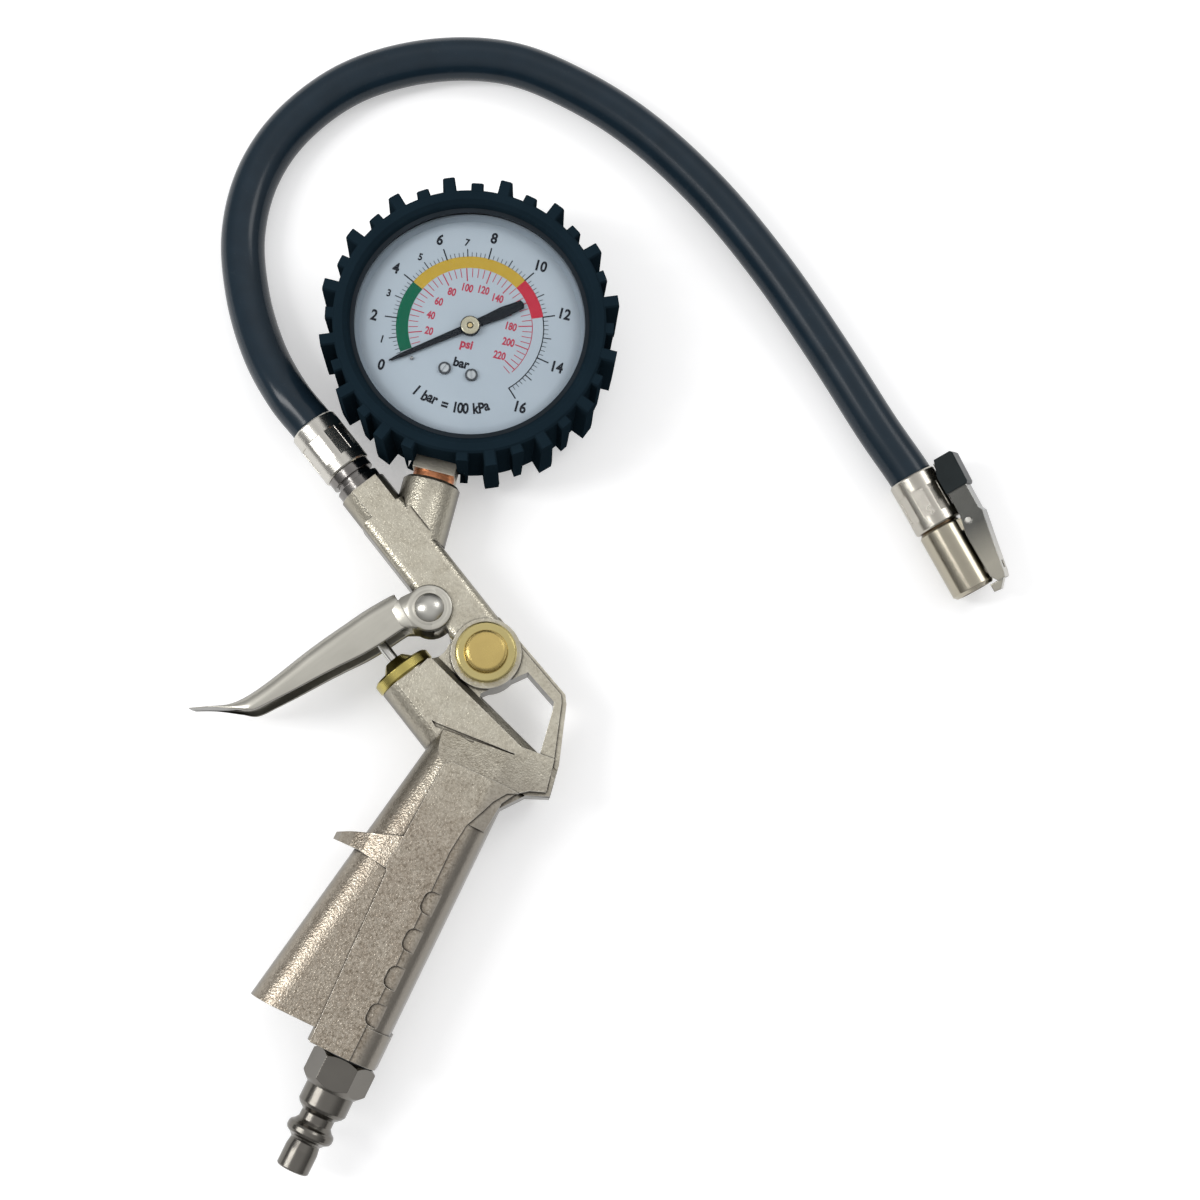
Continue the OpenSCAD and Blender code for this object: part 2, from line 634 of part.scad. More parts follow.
module bleed_bush() color([0.78, 0.68, 0.38]) arm_frame() translate([bleed_u, bleed_v, 0])
difference() {
  union() {
    translate([0, 0, 2.6]) cylinder(h = 5.5, r = 5.6);
    translate([0, 0, bboss_h]) cylinder(h = 2.3, r = bleed_ring_r);
    translate([0, 0, bboss_h + 2.3]) cylinder(h = 0.5, r1 = bleed_ring_r, r2 = bleed_ring_r - 0.5);
  }
  translate([0, 0, bboss_h + 0.2]) cylinder(h = 6, r = bleed_r + run_gap);
  translate([0, 0, 4.6]) cylinder(h = 6, r = 4.4);
  cylinder(h = 6, r = 1.4 + run_gap);
}

module bleed_button() color([0.8, 0.68, 0.36]) arm_frame() translate([bleed_u, bleed_v, 0]) {
  translate([0, 0, 10.1]) cylinder(h = 2.2, r = bleed_r);
  translate([0, 0, 12.3]) cylinder(h = 0.6, r1 = bleed_r, r2 = bleed_r - 0.6);
  intersection() {
    translate([0, 0, 12.9 - 40]) sphere(r = 40.2);
    translate([0, 0, 12.8]) cylinder(h = 1, r = bleed_r - 0.6);
  }
  translate([0, 0, 8.9]) cylinder(h = 1.3, r = 3.9);
  translate([0, 0, 1.2]) cylinder(h = 8, r = 1.4);
  translate([0, 0, 1.0]) cylinder(h = 1.0, r = 2.4);
}

module bleed_seal() color([0.08, 0.08, 0.08]) arm_frame() translate([bleed_u, bleed_v, 2.0])
difference() {
  cylinder(h = 0.6, r = 2.4);
  translate([0, 0, -1]) cylinder(h = 3, r = 1.4);
}

module bleed_spring() color([0.7, 0.7, 0.7]) arm_frame() translate([bleed_u, bleed_v, 4.6])
  coil(r = 3.0, w = 0.3, l = 4.3, n = 4);

// ---- trigger ------------------------------------------------------------

// Back edge from the ear's notch to the curled tip, in the arm frame
trig_back = [[40.6, -55.9], [40.2, -57.8], [39.4, -64.1], [39.1, -70.3], [38.8, -76.4],
  [38.7, -82.6], [38.9, -88.9], [38.9, -95.2], [38.5, -100.9], [37.3, -105.2], [34.3, -109.7],
  [31.4, -113.8]];
// Free edge of the side plates, from the curl back to the ear
trig_front = [[38.6, -104.6], [41.4, -103.4], [42.9, -99.3], [44.0, -93.8], [45.7, -84.8],
  [47.3, -75.7], [48.8, -67.0], [49.3, -61.8], [49.4, -59.1], [50.4, -57.4]];
// How much shorter the lower side plate is at its free edge
cheek_step = 0.6;

module trigger() color([0.62, 0.61, 0.58]) arm_frame() difference() {
  union() {
    for (s = [0, 1]) mirror([0, 0, s]) translate([0, 0, trig_in]) {
      linear_extrude(sheet) polygon(concat([[44.0, -48.6], [42.9, -53.2], [42.6, -55.5]],
        [for (k = [0:8]) trig_back[k]],
        [for (k = [0:9]) trig_front[k] - [s * cheek_step * min(1, (9 - k) / 2, k / 2), 0]],
        [[53.8, -54.0]]));
      translate([piv_u, piv_v, 0]) cylinder(h = sheet, r = ear_r);
    }
    slab(strip(trig_back, sheet), trig_in + sheet);
  }
  translate([piv_u, piv_v, -20]) cylinder(h = 40, r = rivet_r);
  // the curled tip is narrower than the channel
  for (s = [-1, 1]) tip_trim(s);
}

// Slanting cut at each side of the curled tip
module tip_trim(s) {
  translate([34, -103.5, s * (trig_in + sheet + 0.02)]) rotate([s * 29, 0, 0])
    translate([-10, -16, s > 0 ? 0 : -10]) cube([20, 16, 10]);
}

module trigger_pin() color([0.72, 0.72, 0.71]) arm_frame() translate([piv_u, piv_v, 0]) {
  translate([0, 0, -trig_in - sheet]) cylinder(h = 2 * (trig_in + sheet), r = rivet_r);
  for (s = [0, 1]) mirror([0, 0, s]) translate([0, 0, trig_in + sheet]) intersection() {
    translate([0, 0, -3.6]) sphere(r = 5.2);
    cylinder(h = 4, r = rivet_head_r);
  }
}

// ---- gauge --------------------------------------------------------------

// Curved pressure tube, flat in section, drawn about the gauge axis
module tube_solid(gap = 0) {
  rotate([0, 0, 7.5]) rotate_extrude(angle = 298) translate([tube_r, 0]) {
    square([2.4 + 2 * gap, 5.6], center = true);
    for (i = [-1, 1]) translate([0, i * 2.8]) circle(r = 1.2 + gap, $fn = 32);
  }
}

module gauge_socket() color([0.72, 0.68, 0.58]) stem_frame() difference() {
  union() {
    rod(gboss_s - 1.8, gboss_s + 9.5, small_thread_r);
    translate([case_r + 0.2, -socket_w / 2, -socket_w / 2])
      cube([gboss_s - 1.8 - case_r - 0.2, socket_w, socket_w]);
    translate([tube_r - 11.5, -4.5, -4.5]) cube([tube_gap + 14.1, 9, 9]);
  }
  rod(tube_r + 0.5, gboss_s + 12, 1.6);
  tube_solid();
}

module gauge_washer() color([0.72, 0.42, 0.26]) stem_frame() difference() {
  rod(gboss_s - 1.8, gboss_s, 5.4);
  rod(gboss_s - 3, gboss_s + 1, small_thread_r);
}

module gauge_case() color([0.25, 0.25, 0.26]) difference() {
  union() {
    translate([0, 0, boot_back])
      cylinder(h = case_bevel, r1 = case_r - case_bevel * 2 / 3, r2 = case_r, $fn = 128);
    translate([0, 0, boot_back + case_bevel])
      cylinder(h = case_top - boot_back - case_bevel, r = case_r, $fn = 128);
  }
  translate([0, 0, boot_back + case_wall]) cylinder(h = case_bevel,
    r1 = case_r - case_bevel * 2 / 3 - 0.55 * case_wall, r2 = case_r - case_wall, $fn = 128);
  translate([0, 0, boot_back + case_wall + case_bevel - eps])
    cylinder(h = 40, r = case_r - case_wall, $fn = 128);
  stem_frame() translate([case_r - 11.4, -4.6, -4.6]) cube([20, 9.2, 9.2]);
}

module gauge_bezel() color([0.2, 0.2, 0.21]) difference() {
  translate([0, 0, bezel_low]) cylinder(h = bezel_top - bezel_low, r = bezel_r, $fn = 128);
  translate([0, 0, bezel_low - 1])
    cylinder(h = lens_z + lens_t - bezel_low + 1, r = case_r, $fn = 128);
  translate([0, 0, bezel_low]) cylinder(h = 40, r = window_r, $fn = 128);
}

module lens_gasket() color([0.1, 0.1, 0.1]) translate([0, 0, case_top]) difference() {
  cylinder(h = gasket_t, r = case_r - 0.2, $fn = 96);
  translate([0, 0, -1]) cylinder(h = gasket_t + 2, r = case_r - 1.5, $fn = 96);
}

module gauge_lens() color([0.85, 0.9, 0.95, 0.35])
translate([0, 0, lens_z]) cylinder(h = lens_t, r = case_r - 0.2, $fn = 128);

// Dial with a sloping raised rim
module gauge_dial() color([0.88, 0.9, 0.93]) difference() {
  translate([0, 0, dial_z - 0.6]) cylinder(h = 2.4, r = dial_r, $fn = 128);
  translate([0, 0, dial_z]) cylinder(h = 1.81, r1 = dial_r - 1.4, r2 = dial_r - 0.5, $fn = 128);
  translate([0, 0, 10]) cylinder(h = 20, r = 2.0);
  stem_frame() for (i = [-1, 1]) translate([dial_screw_s, 3.5 * i, 0]) cylinder(h = 30, r = 0.9);
}

module dial_screws() color([0.6, 0.6, 0.6]) stem_frame() for (i = [-1, 1])
  translate([dial_screw_s, 3.5 * i, dial_z - mid_z]) difference() {
    union() {
      cylinder(h = 0.7, r = 1.6);
      translate([0, 0, -4]) cylinder(h = 4.1, r = 0.9);
    }
    rotate([0, 0, 20 * i]) translate([-2, -0.25, 0.35]) cube([4, 0.5, 1]);
  }

// Needle with a broad tail, and the hub that holds it on its shaft
module pointer() color([0.1, 0.1, 0.12]) rotate([0, 0, zero_ang]) difference() {
  union() {
    translate([0, 0, dial_z + 0.7]) linear_extrude(0.4) {
      polygon([[0, -0.95], [19, -0.55], [22.5, -0.12], [22.5, 0.12], [19, 0.55], [0, 0.95]]);
      polygon([[0, -1.0], [-5, -1.2], [-9, -1.5], [-14.6, -1.1], [-15, 0], [-14.6, 1.1],
               [-9, 1.5], [-5, 1.2], [0, 1.0]]);
    }
    translate([0, 0, dial_z + 0.4]) cylinder(h = 1.4, r = 2.5);
  }
  translate([0, 0, dial_z - 5]) cylinder(h = 10, r = arbor_r);
}

module pinion_shaft() color([0.7, 0.6, 0.35]) {
  translate([0, 0, mid_z - 4.9]) cylinder(h = dial_z + 1.8 - mid_z + 4.9, r = arbor_r);
  translate([0, 0, mid_z + 1.4]) linear_extrude(3) rotate([0, 0, stem_ang]) {
    circle(r = gear_m * pinion_z / 2 - 1.1 * gear_m);
    for (k = [0:pinion_z - 1])
      polygon(tooth(pinion_z, sector_dir + 180 + 18 + 360 / pinion_z * k));
  }
}

// Toothed sector that turns the pinion: a tooth faces it at rest
module sector_gear() color([0.72, 0.6, 0.34]) stem_frame()
translate([sector_x, sector_y, 0]) {
  difference() {
    union() {
      translate([0, 0, 2.2]) linear_extrude(1.2) {
        for (k = [0:sector_cut - 1]) polygon(tooth(sector_z, sector_dir + 6 - 6 * k));
        difference() {
          polygon(concat([[0, 0]], [for (k = [0:10]) let (a = sector_dir + 9 - 6.6 * k)
            10.15 * [cos(a), sin(a)]]));
          circle(r = 2.1);
          polygon([for (k = [0:6]) let (a = sector_dir + 2 - 7.6 * k) 8.4 * [cos(a), sin(a)],
                   for (k = [6:-1:0]) let (a = sector_dir + 2 - 7.6 * k) 4.2 * [cos(a), sin(a)]]);
        }
        circle(r = 2.2);
        polygon([[-1.2, 0], [1.6, -6.2], [3.6, -5.6], [2.0, 0]]);
        translate([2.6, -5.9]) circle(r = 1.1);
      }
      translate([0, 0, -1.4]) cylinder(h = 5.4, r = 1.3);
    }
  }
  translate([0, 0, -4.8]) cylinder(h = 11.2, r = 0.7);
}

module movement_plates() color([0.7, 0.62, 0.4]) stem_frame() difference() {
  union() {
    translate([-15, -9.8, -5.7]) cube([tube_r + 12.5, 19.6, 1.2]);
    translate([-15, -9.8, 5.5]) cube([16.9 + dial_screw_s, 19.6, 1.2]);
    for (p = [[11.8, 7.4], [-12.5, 7.4], [-12.5, -7.4]])
      translate([p[0], p[1], -4.6]) cylinder(h = 10.2, r = 1.2);
    for (i = [-1, 1]) translate([dial_screw_s, 3.5 * i, 6.6])
      cylinder(h = dial_z - 0.6 - mid_z - 6.6, r = 1.6);
    translate([-5.9, 0, 3.8]) cylinder(h = 1.8, r = 0.6);
  }
  translate([0, 0, -8]) cylinder(h = 20, r = arbor_r + run_gap);
  translate([sector_x, sector_y, -8]) cylinder(h = 20, r = 0.7 + run_gap);
  for (i = [-1, 1]) translate([dial_screw_s, 3.5 * i, dial_z - mid_z - 4]) cylinder(h = 6, r = 0.9);
}

module bourdon_tube() color([0.74, 0.6, 0.34]) stem_frame() tube_solid();

// Link from the tube's end to the sector's tail
module tube_link() color([0.6, 0.55, 0.4]) stem_frame() {
  a = [tube_r * cos(-54.5), tube_r * sin(-54.5)];
  b = [sector_x + 2.6, sector_y - 5.9];
  difference() {
    union() {
      translate([a[0], a[1], -2]) cylinder(h = 6.6, r = 1.8);
      translate([a[0], a[1], 3.6]) rotate([0, 0, atan2(b[1] - a[1], b[0] - a[0])])
        translate([0, -0.6, 0]) cube([norm(b - a), 1.2, 0.6]);
    }
    tube_solid(0.05);
  }
  translate([b[0], b[1], 3.42]) cylinder(h = 0.78, r = 1.0);
}

// Flat spiral spring round the pointer shaft
module hairspring() color([0.75, 0.7, 0.55]) stem_frame() translate([0, 0, 4.7])
linear_extrude(0.6) {
  difference() {
    circle(r = 1.3, $fn = 32);
    circle(r = arbor_r + run_gap, $fn = 32);
  }
  polygon(concat(
    [for (k = [0:48]) let (a = 180 - 1080 + 22.5 * k, r = 1.2 + 4.1 * k / 48) r * [cos(a), sin(a)]],
    [for (k = [48:-1:0]) let (a = 180 - 1080 + 22.5 * k, r = 1.0 + 4.1 * k / 48)
      r * [cos(a), sin(a)]]));
}

// ---- boot ---------------------------------------------------------------

// One tread lug: its outline on the boot's wall, pushed outwards to radius r
module lug(r, low, high, w_low, w_high) {
  rotate([90, 0, 90]) translate([0, 0, boot_r - 1.6]) linear_extrude(r - boot_r + 1.6)
    polygon([[-w_low / 2, low], [w_low / 2, low], [w_low / 2 + 0.2, low + 4],
             [w_high / 2, high - 0.6], [w_high / 2 - 0.4, high], [-w_high / 2 + 0.4, high],
             [-w_high / 2, high - 0.6], [-w_low / 2 - 0.2, low + 4]]);
}

module gauge_boot() color([0.09, 0.14, 0.17]) difference() {
  union() {
    cylinder(h = boot_bevel, r1 = boot_r - bevel_in, r2 = boot_r, $fn = 128);
    translate([0, 0, boot_bevel]) cylinder(h = boot_h - 0.6 - boot_bevel, r = boot_r, $fn = 128);
    translate([0, 0, boot_h - 0.6]) cylinder(h = 0.6, r1 = boot_r, r2 = boot_r - 0.6, $fn = 128);
    for (k = [0:lug_count - 1]) {
      if (k != 11) rotate([0, 0, lug_ang + 360 / lug_count * k])
        lug(lug_r, 5.4, boot_h - 0.2, 3.6, 3.1);
      rotate([0, 0, lug_ang + 360 / lug_count * (k + 0.5)])
        lug(low_lug_r, 5.4, boot_h - 0.5, 2.0, 3.2);
    }
  }
  translate([0, 0, boot_back])
    cylinder(h = case_bevel, r1 = case_r - case_bevel * 2 / 3, r2 = case_r, $fn = 128);
  translate([0, 0, boot_back + case_bevel])
    cylinder(h = bezel_low - boot_back - case_bevel + 0.2, r = case_r, $fn = 128);
  translate([0, 0, bezel_low]) cylinder(h = bezel_top - bezel_low, r = bezel_r, $fn = 128);
  translate([0, 0, bezel_top - 1]) cylinder(h = boot_lip, r1 = boot_open_r - 0.7,
    r2 = boot_open_r + 0.5, $fn = 128);
  translate([0, 0, boot_h - 1]) cylinder(h = 1 + eps, r1 = boot_open_r + 0.5,
    r2 = boot_open_r + 1.7, $fn = 128);
  // way out for the gauge stem
  stem_frame() {
    rod(case_r - 1.4, lug_r + 2, 7.8);
    translate([case_r - 1.4, -7.8, -7]) cube([12, 15.6, 7]);
  }
}

// ---- hose ---------------------------------------------------------------

module hose_nipple() color([0.3, 0.3, 0.3]) arm_frame() translate([0, arm_v, 0]) difference() {
  union() {
    rod(arm_start, 22.5, small_thread_r);
    rod(arm_start - 2.4, arm_start, 6.0);
    rod(arm_start - 4.0, arm_start - 2.4, 4.9);
    rod(arm_start - 6.4, arm_start - 4.0, 5.9);
    rod(hose_start_u + 2, arm_start - 6.4, hose_bore_r - 0.15);
    rod(hose_start_u + 1, hose_start_u + 2, hose_bore_r - 0.7, hose_bore_r - 0.15);
  }
  rod(hose_start_u, 24, 1.9);
}

// Crimped sleeve along x from 0, closed at its far end round a neck of radius neck
module ferrule(r, neck) {
  difference() {
    union() {
      rod(0, 0.4, r - 0.3, r);
      rod(0.4, ferrule_l - 0.4, r);
      rod(ferrule_l - 0.4, ferrule_l, r, r - 0.4);
    }
    rod(-1, ferrule_l - 1.2, hose_pinch_r);
    rod(-1, ferrule_l + 1, neck);
    for (k = [0:7]) rotate([22.5 + 45 * k, 0, 0])
      translate([4.2, -1.6, r - 0.32]) cube([7.4, 3.2, 2]);
  }
}

module ferrule_body() color([0.74, 0.73, 0.7]) arm_frame()
  translate([hose_start_u, arm_v, 0]) ferrule(ferrule_r, hose_bore_r - 0.15);

// Route of the hose's axis after it leaves the body ferrule: it lies on the surface
hose_route = [[-36.4, -33.7, 12.0], [-47.8, -25.4, 9.2], [-59.1, -13.3, 6.4], [-68.4, 1.6, 5.7],
  [-72.6, 18.6, 5.7], [-70.3, 36.0, 5.7], [-61.2, 53.6, 5.7], [-45.5, 68.1, 5.7],
  [-26.3, 77.2, 5.7], [-5.2, 78.6, 5.7], [16, 75.2, 5.7], [39.1, 67.5, 5.7], [62.1, 56.2, 5.7],
  [85.1, 42.3, 5.7], [105.6, 28.7, 6.1]];

function arm_pt(u, v, z) = [body_x + u * cos(arm_ang) - v * sin(arm_ang),
  body_y + u * sin(arm_ang) + v * cos(arm_ang), mid_z + z];
function chuck_pt(a) = [body_x + chuck_x + a * cos(chuck_ang),
  body_y + chuck_y + a * sin(chuck_ang), chuck_z];

hose_ctrl = concat([arm_pt(hose_start_u + 14, arm_v, 0), arm_pt(hose_start_u, arm_v, 0)],
  hose_route, [chuck_pt(0), chuck_pt(14)]);
// Smooth curve through the control points
function spline(p, i, t) = let (a = p[i - 1], b = p[i], c = p[i + 1], d = p[i + 2])
  0.5 * (2 * b + (c - a) * t + (2 * a - 5 * b + 4 * c - d) * t * t
         + (3 * b - a - 3 * c + d) * t * t * t);
hose_line = [for (i = [1:len(hose_ctrl) - 3], k = [0:2]) spline(hose_ctrl, i, k / 3)];
// Axis points with their radii: pinched inside each ferrule
hose_axis = concat([arm_pt(hose_start_u + 13.2, arm_v, 0), arm_pt(hose_start_u + 0.3, arm_v, 0)],
  [arm_pt(hose_start_u - 0.4, arm_v, 0)],
  [for (k = [1:len(hose_line) - 1]) hose_line[k]],
  [chuck_pt(-0.7), chuck_pt(0.0), chuck_pt(13.2)]);
function hose_rad(k) = (k < 2 || k > len(hose_axis) - 3) ? hose_pinch_r : hose_r;
function unit(v) = v / norm(v);
function tangent(p, k) = unit(p[min(k + 1, len(p) - 1)] - p[max(k - 1, 0)]);
function ring(p, k, r, s) = let (t = tangent(p, k), x = unit(cross(t, [0, 0, 1])), y = cross(x, t))
  [for (j = [0:s - 1]) let (b = 360 / s * (j + 0.5)) p[k] + r * cos(b) * x - r * sin(b) * y];

module hose() color([0.1, 0.14, 0.17]) skin(
  [for (k = [0:len(hose_axis) - 1]) ring(hose_axis, k, hose_rad(k), 12)],
  [for (k = [0:len(hose_axis) - 1]) ring(hose_axis, k, hose_bore_r + 0.1, 12)]);

// ---- chuck --------------------------------------------------------------

module ferrule_chuck() color([0.74, 0.73, 0.7]) chuck_frame()
  ferrule(chuck_ferrule_r, hose_bore_r - 0.15);

module chuck_tail() color([0.7, 0.62, 0.42]) chuck_frame() difference() {
  union() {
    rod(1, 2, hose_bore_r - 0.7, hose_bore_r - 0.15);
    rod(2, ferrule_l, hose_bore_r - 0.15);
    rod(ferrule_l, ferrule_l + 0.5, 5.2);
    rod(ferrule_l + 0.5, 20, 3.6);
  }
  rod(0, 21, 1.8);
}

module chuck_body() color([0.72, 0.71, 0.66]) {
  chuck_frame() difference() {
    union() {
      rod(ferrule_l + 0.5, ferrule_l + 1.1, chuck_r - 0.5, chuck_r);
      rod(ferrule_l + 1.1, chuck_l - 0.9, chuck_r);
      rod(chuck_l - 0.9, chuck_l, chuck_r, chuck_r - 0.9);
      clip_ears();
    }
    rod(10, 20.3, 3.6);
    rod(20, 23, 1.5);
    rod(chuck_l - mouth_l - seal_seat_l, chuck_l - mouth_l, seal_seat_r);
    rod(chuck_l - mouth_l - eps, chuck_l + 1, mouth_r);
  }
}

// Two ears that carry the clip pin
module clip_ears() rotate([clip_roll - 90, 0, 0]) difference() {
  for (s = [0, 1]) mirror([0, s, 0]) {
    translate([clip_pin_a - 1.6, 1.9, 3]) cube([3.2, 1.2, clip_pin_r - 3]);
    translate([clip_pin_a, 1.9, clip_pin_r]) rotate([-90, 0, 0]) cylinder(h = 1.2, r = 1.6);
  }
  translate([clip_pin_a, -10, clip_pin_r]) rotate([-90, 0, 0]) cylinder(h = 20, r = 0.8);
}

module chuck_seal() color([0.08, 0.08, 0.08]) chuck_frame() difference() {
  rod(chuck_l - mouth_l - seal_seat_l, chuck_l - mouth_l - 0.2, seal_seat_r);
  rod(20, 30, 2.0);
}

module chuck_core_pin() color([0.72, 0.6, 0.3]) chuck_frame() {
  rod(20.6, chuck_l - mouth_l - 0.3, 0.8);
  difference() {
    rod(20.6, chuck_l - mouth_l - seal_seat_l, 1.5);
    for (s = [-1, 1]) translate([19, -1, s > 0 ? 0.9 : -2.9]) cube([5, 2, 2]);
  }
}

// Outer line of the clip in its own frame: along the chuck, away from its axis
clip_out = [[0.3, clip_out_r], [9.6, clip_out_r - 0.3], [15.9, clip_out_r - 0.4],
  [16.9, clip_out_r + 0.1], [18, clip_out_r - 0.1], [26, clip_out_r - 1.6],
  [33.6, clip_out_r - 2.9], [chuck_l + 0.8, clip_out_r - 3.4]];
clip_low = [[chuck_l + 0.8, 6.9], [33.0, 5.7], [20.6, 5.6], [18.6, 6.0], [15.6, 6.7], [0.3, 7.2]];

// Stamped channel: two cheeks, the outer sheet and a tooth that turns in at the mouth
module chuck_clip() color([0.7, 0.68, 0.63]) clip_frame() rotate([90, 0, 0]) difference() {
  union() {
    for (s = [0, 1]) mirror([0, 0, s]) translate([0, 0, clip_half - clip_sheet])
      linear_extrude(clip_sheet) polygon(concat(clip_out, clip_low));
    slab(strip([for (k = [7:-1:0]) clip_out[k]], clip_sheet), clip_half);
    slab([[chuck_l + 0.2, 8.2], [chuck_l + 0.8, 8.2], [chuck_l + 3.0, 6.3], [chuck_l + 2.8, 4.4],
          [chuck_l + 0.6, 4.4], [chuck_l + 0.6, 6.6], [chuck_l + 0.2, 7.0]], 2.2);
    slab([[33.4, 8.2], [33.4, 7.2], [chuck_l + 0.8, 7.2], [chuck_l + 0.8, 8.2]], clip_half);
  }
  translate([clip_pin_a, clip_pin_r, -10]) cylinder(h = 20, r = 0.8 + run_gap);
  // slot near the mouth
  translate([30.6, 9, -1.6]) cube([2.0, 12, 3.2]);
}

module clip_cap() color([0.1, 0.13, 0.16]) clip_frame() rotate([90, 0, 0]) difference() {
  slab([[-0.5, 8.0], [-0.5, clip_out_r + 0.3], [0.1, clip_out_r + 0.8],
        [8.4, clip_out_r + 0.5], [9, clip_out_r + 0.1], [9, 6.5], [4, 6.5]], clip_half + 0.7);
  slab([[0.2, 5], [0.2, clip_out_r], [0.3, clip_out_r], [9.6, clip_out_r - 0.3],
        [9.6, 5]], clip_half);
}

module clip_pin() color([0.6, 0.6, 0.58]) clip_frame()
translate([clip_pin_a, -clip_half, clip_pin_r]) rotate([-90, 0, 0])
  cylinder(h = 2 * clip_half, r = 0.8);

module clip_spring() color([0.65, 0.65, 0.65]) clip_frame()
translate([clip_pin_a, 0, clip_pin_r]) rotate([-90, 0, 0])
  for (k = [-1:1]) translate([0, 0, k * 1.0]) rotate_extrude() translate([1.3, 0])
    circle(r = 0.4, $fn = 24);

// ---- which pieces are drawn --------------------------------------------

body_casting();
inlet_plug();
inlet_seal();
gland_nut();
stem_oring();
valve_stem();
poppet_seal();
valve_seat();
valve_spring();
bleed_bush();
bleed_button();
bleed_seal();
bleed_spring();
trigger();
trigger_pin();
gauge_socket();
gauge_washer();
gauge_case();
gauge_bezel();
lens_gasket();
gauge_lens();
gauge_dial();
dial_screws();
pointer();
pinion_shaft();
sector_gear();
movement_plates();
bourdon_tube();
tube_link();
hairspring();
gauge_boot();
hose_nipple();
ferrule_body();
hose();
ferrule_chuck();
chuck_tail();
chuck_body();
chuck_seal();
chuck_core_pin();
chuck_clip();
clip_cap();
clip_pin();
clip_spring();
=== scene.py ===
import math

import bpy
import numpy as np
from mathutils import Matrix, Vector


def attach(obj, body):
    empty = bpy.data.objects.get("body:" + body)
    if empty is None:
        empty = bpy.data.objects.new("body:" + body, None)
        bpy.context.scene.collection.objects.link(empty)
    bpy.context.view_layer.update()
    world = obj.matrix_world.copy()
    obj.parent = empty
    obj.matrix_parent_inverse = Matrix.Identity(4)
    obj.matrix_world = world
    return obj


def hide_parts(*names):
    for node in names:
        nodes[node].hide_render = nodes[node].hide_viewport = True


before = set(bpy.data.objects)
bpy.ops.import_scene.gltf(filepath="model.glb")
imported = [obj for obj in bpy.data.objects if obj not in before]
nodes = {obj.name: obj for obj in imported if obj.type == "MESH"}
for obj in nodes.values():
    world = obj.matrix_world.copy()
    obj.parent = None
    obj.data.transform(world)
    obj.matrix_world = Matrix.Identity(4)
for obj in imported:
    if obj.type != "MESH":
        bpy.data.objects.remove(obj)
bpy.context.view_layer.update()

MM = 0.001

# ---------------------------------------------------------------------------
# Places in millimetres and turns about z, the same as those of the solids
# ---------------------------------------------------------------------------

BODY = np.array([0.75, -1.4, 12.5])
ARM_TURN = math.radians(-26.0)
STEM_TURN = math.radians(281.5)
CHUCK_TURN = math.radians(-36.3)
CHUCK_START = np.array([119.75, 20.0, 6.42])
PLUG_START = BODY + np.array([52.35, 0.0, 0.0])
PLUG_TURN = math.radians(-90.0)
HOSE_START = (-8.0, -45.3)  # u and v of the hose's end in the arm's frame
HOSE_R = 5.75
PINCHED_R = 5.44  # the hose inside its ferrules
DIAL_Z = 24.6
PRINT_Z = DIAL_Z + 0.03
SECOND_PRINT_Z = PRINT_Z + 0.02
SCREW_X, SCREW_Y = 12.2, 3.5


def arm_point(u, v, z=0.0):
    """Place of numbers or arrays in the arm's own frame: u along the arm, v across it, z above mid
    height. The frame is turned about z and shifted to the body's origin."""
    c, s = math.cos(ARM_TURN), math.sin(ARM_TURN)
    return BODY + np.stack([u * c - v * s, u * s + v * c, z + 0.0 * u], -1)


def chuck_point(a):
    """Place on the chuck's axis, a millimetres from the hose's end."""
    return CHUCK_START + a * np.array([math.cos(CHUCK_TURN), math.sin(CHUCK_TURN), 0.0])


# ---------------------------------------------------------------------------
# Meshes
# ---------------------------------------------------------------------------


def grid_faces(rows, cols, ring_rows=False, ring_cols=False):
    """Quads between neighbouring rows and columns of a grid of points numbered row by row. A ring
    of rows or columns also joins the last one to the first."""
    a, b = np.meshgrid(np.arange(rows if ring_rows else rows - 1),
                       np.arange(cols if ring_cols else cols - 1), indexing="ij")
    a2, b2 = (a + 1) % rows, (b + 1) % cols
    return np.stack([a * cols + b, a * cols + b2, a2 * cols + b2, a2 * cols + b], -1).reshape(-1, 4)


def make_piece(name, points_mm, faces, finish, body, slot, stands_for=(), smooth=True, uv=None):
    """A mesh object from points in millimetres and a list of face arrays. It rides on a body and
    may stand for solids of the frame, which are then hidden."""
    mesh = bpy.data.meshes.new(name)
    lists = [f for array in faces for f in np.asarray(array).tolist()]
    mesh.from_pydata((np.asarray(points_mm, float) * MM).tolist(), [], lists)
    mesh.polygons.foreach_set("use_smooth", np.full(len(mesh.polygons), smooth))
    if uv is not None:
        layer = mesh.uv_layers.new(name="along")
        corner = np.zeros(len(mesh.loops), np.int32)
        mesh.loops.foreach_get("vertex_index", corner)
        layer.data.foreach_set("uv", np.asarray(uv, np.float32)[corner].ravel())
    mesh.update()
    mesh.materials.append(finish.material)
    piece = bpy.data.objects.new(name, mesh)
    bpy.context.scene.collection.objects.link(piece)
    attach(piece, body)
    if stands_for:
        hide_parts(*stands_for)
    return piece


def joined(parts):
    """One array of points and one list of face arrays out of several (points, faces) pairs."""
    points, faces, base = [], [], 0
    for part_points, part_faces in parts:
        arrays = part_faces if isinstance(part_faces, list) else [part_faces]
        faces += [array + base for array in arrays]
        points.append(part_points)
        base += len(part_points)
    return np.vstack(points), faces


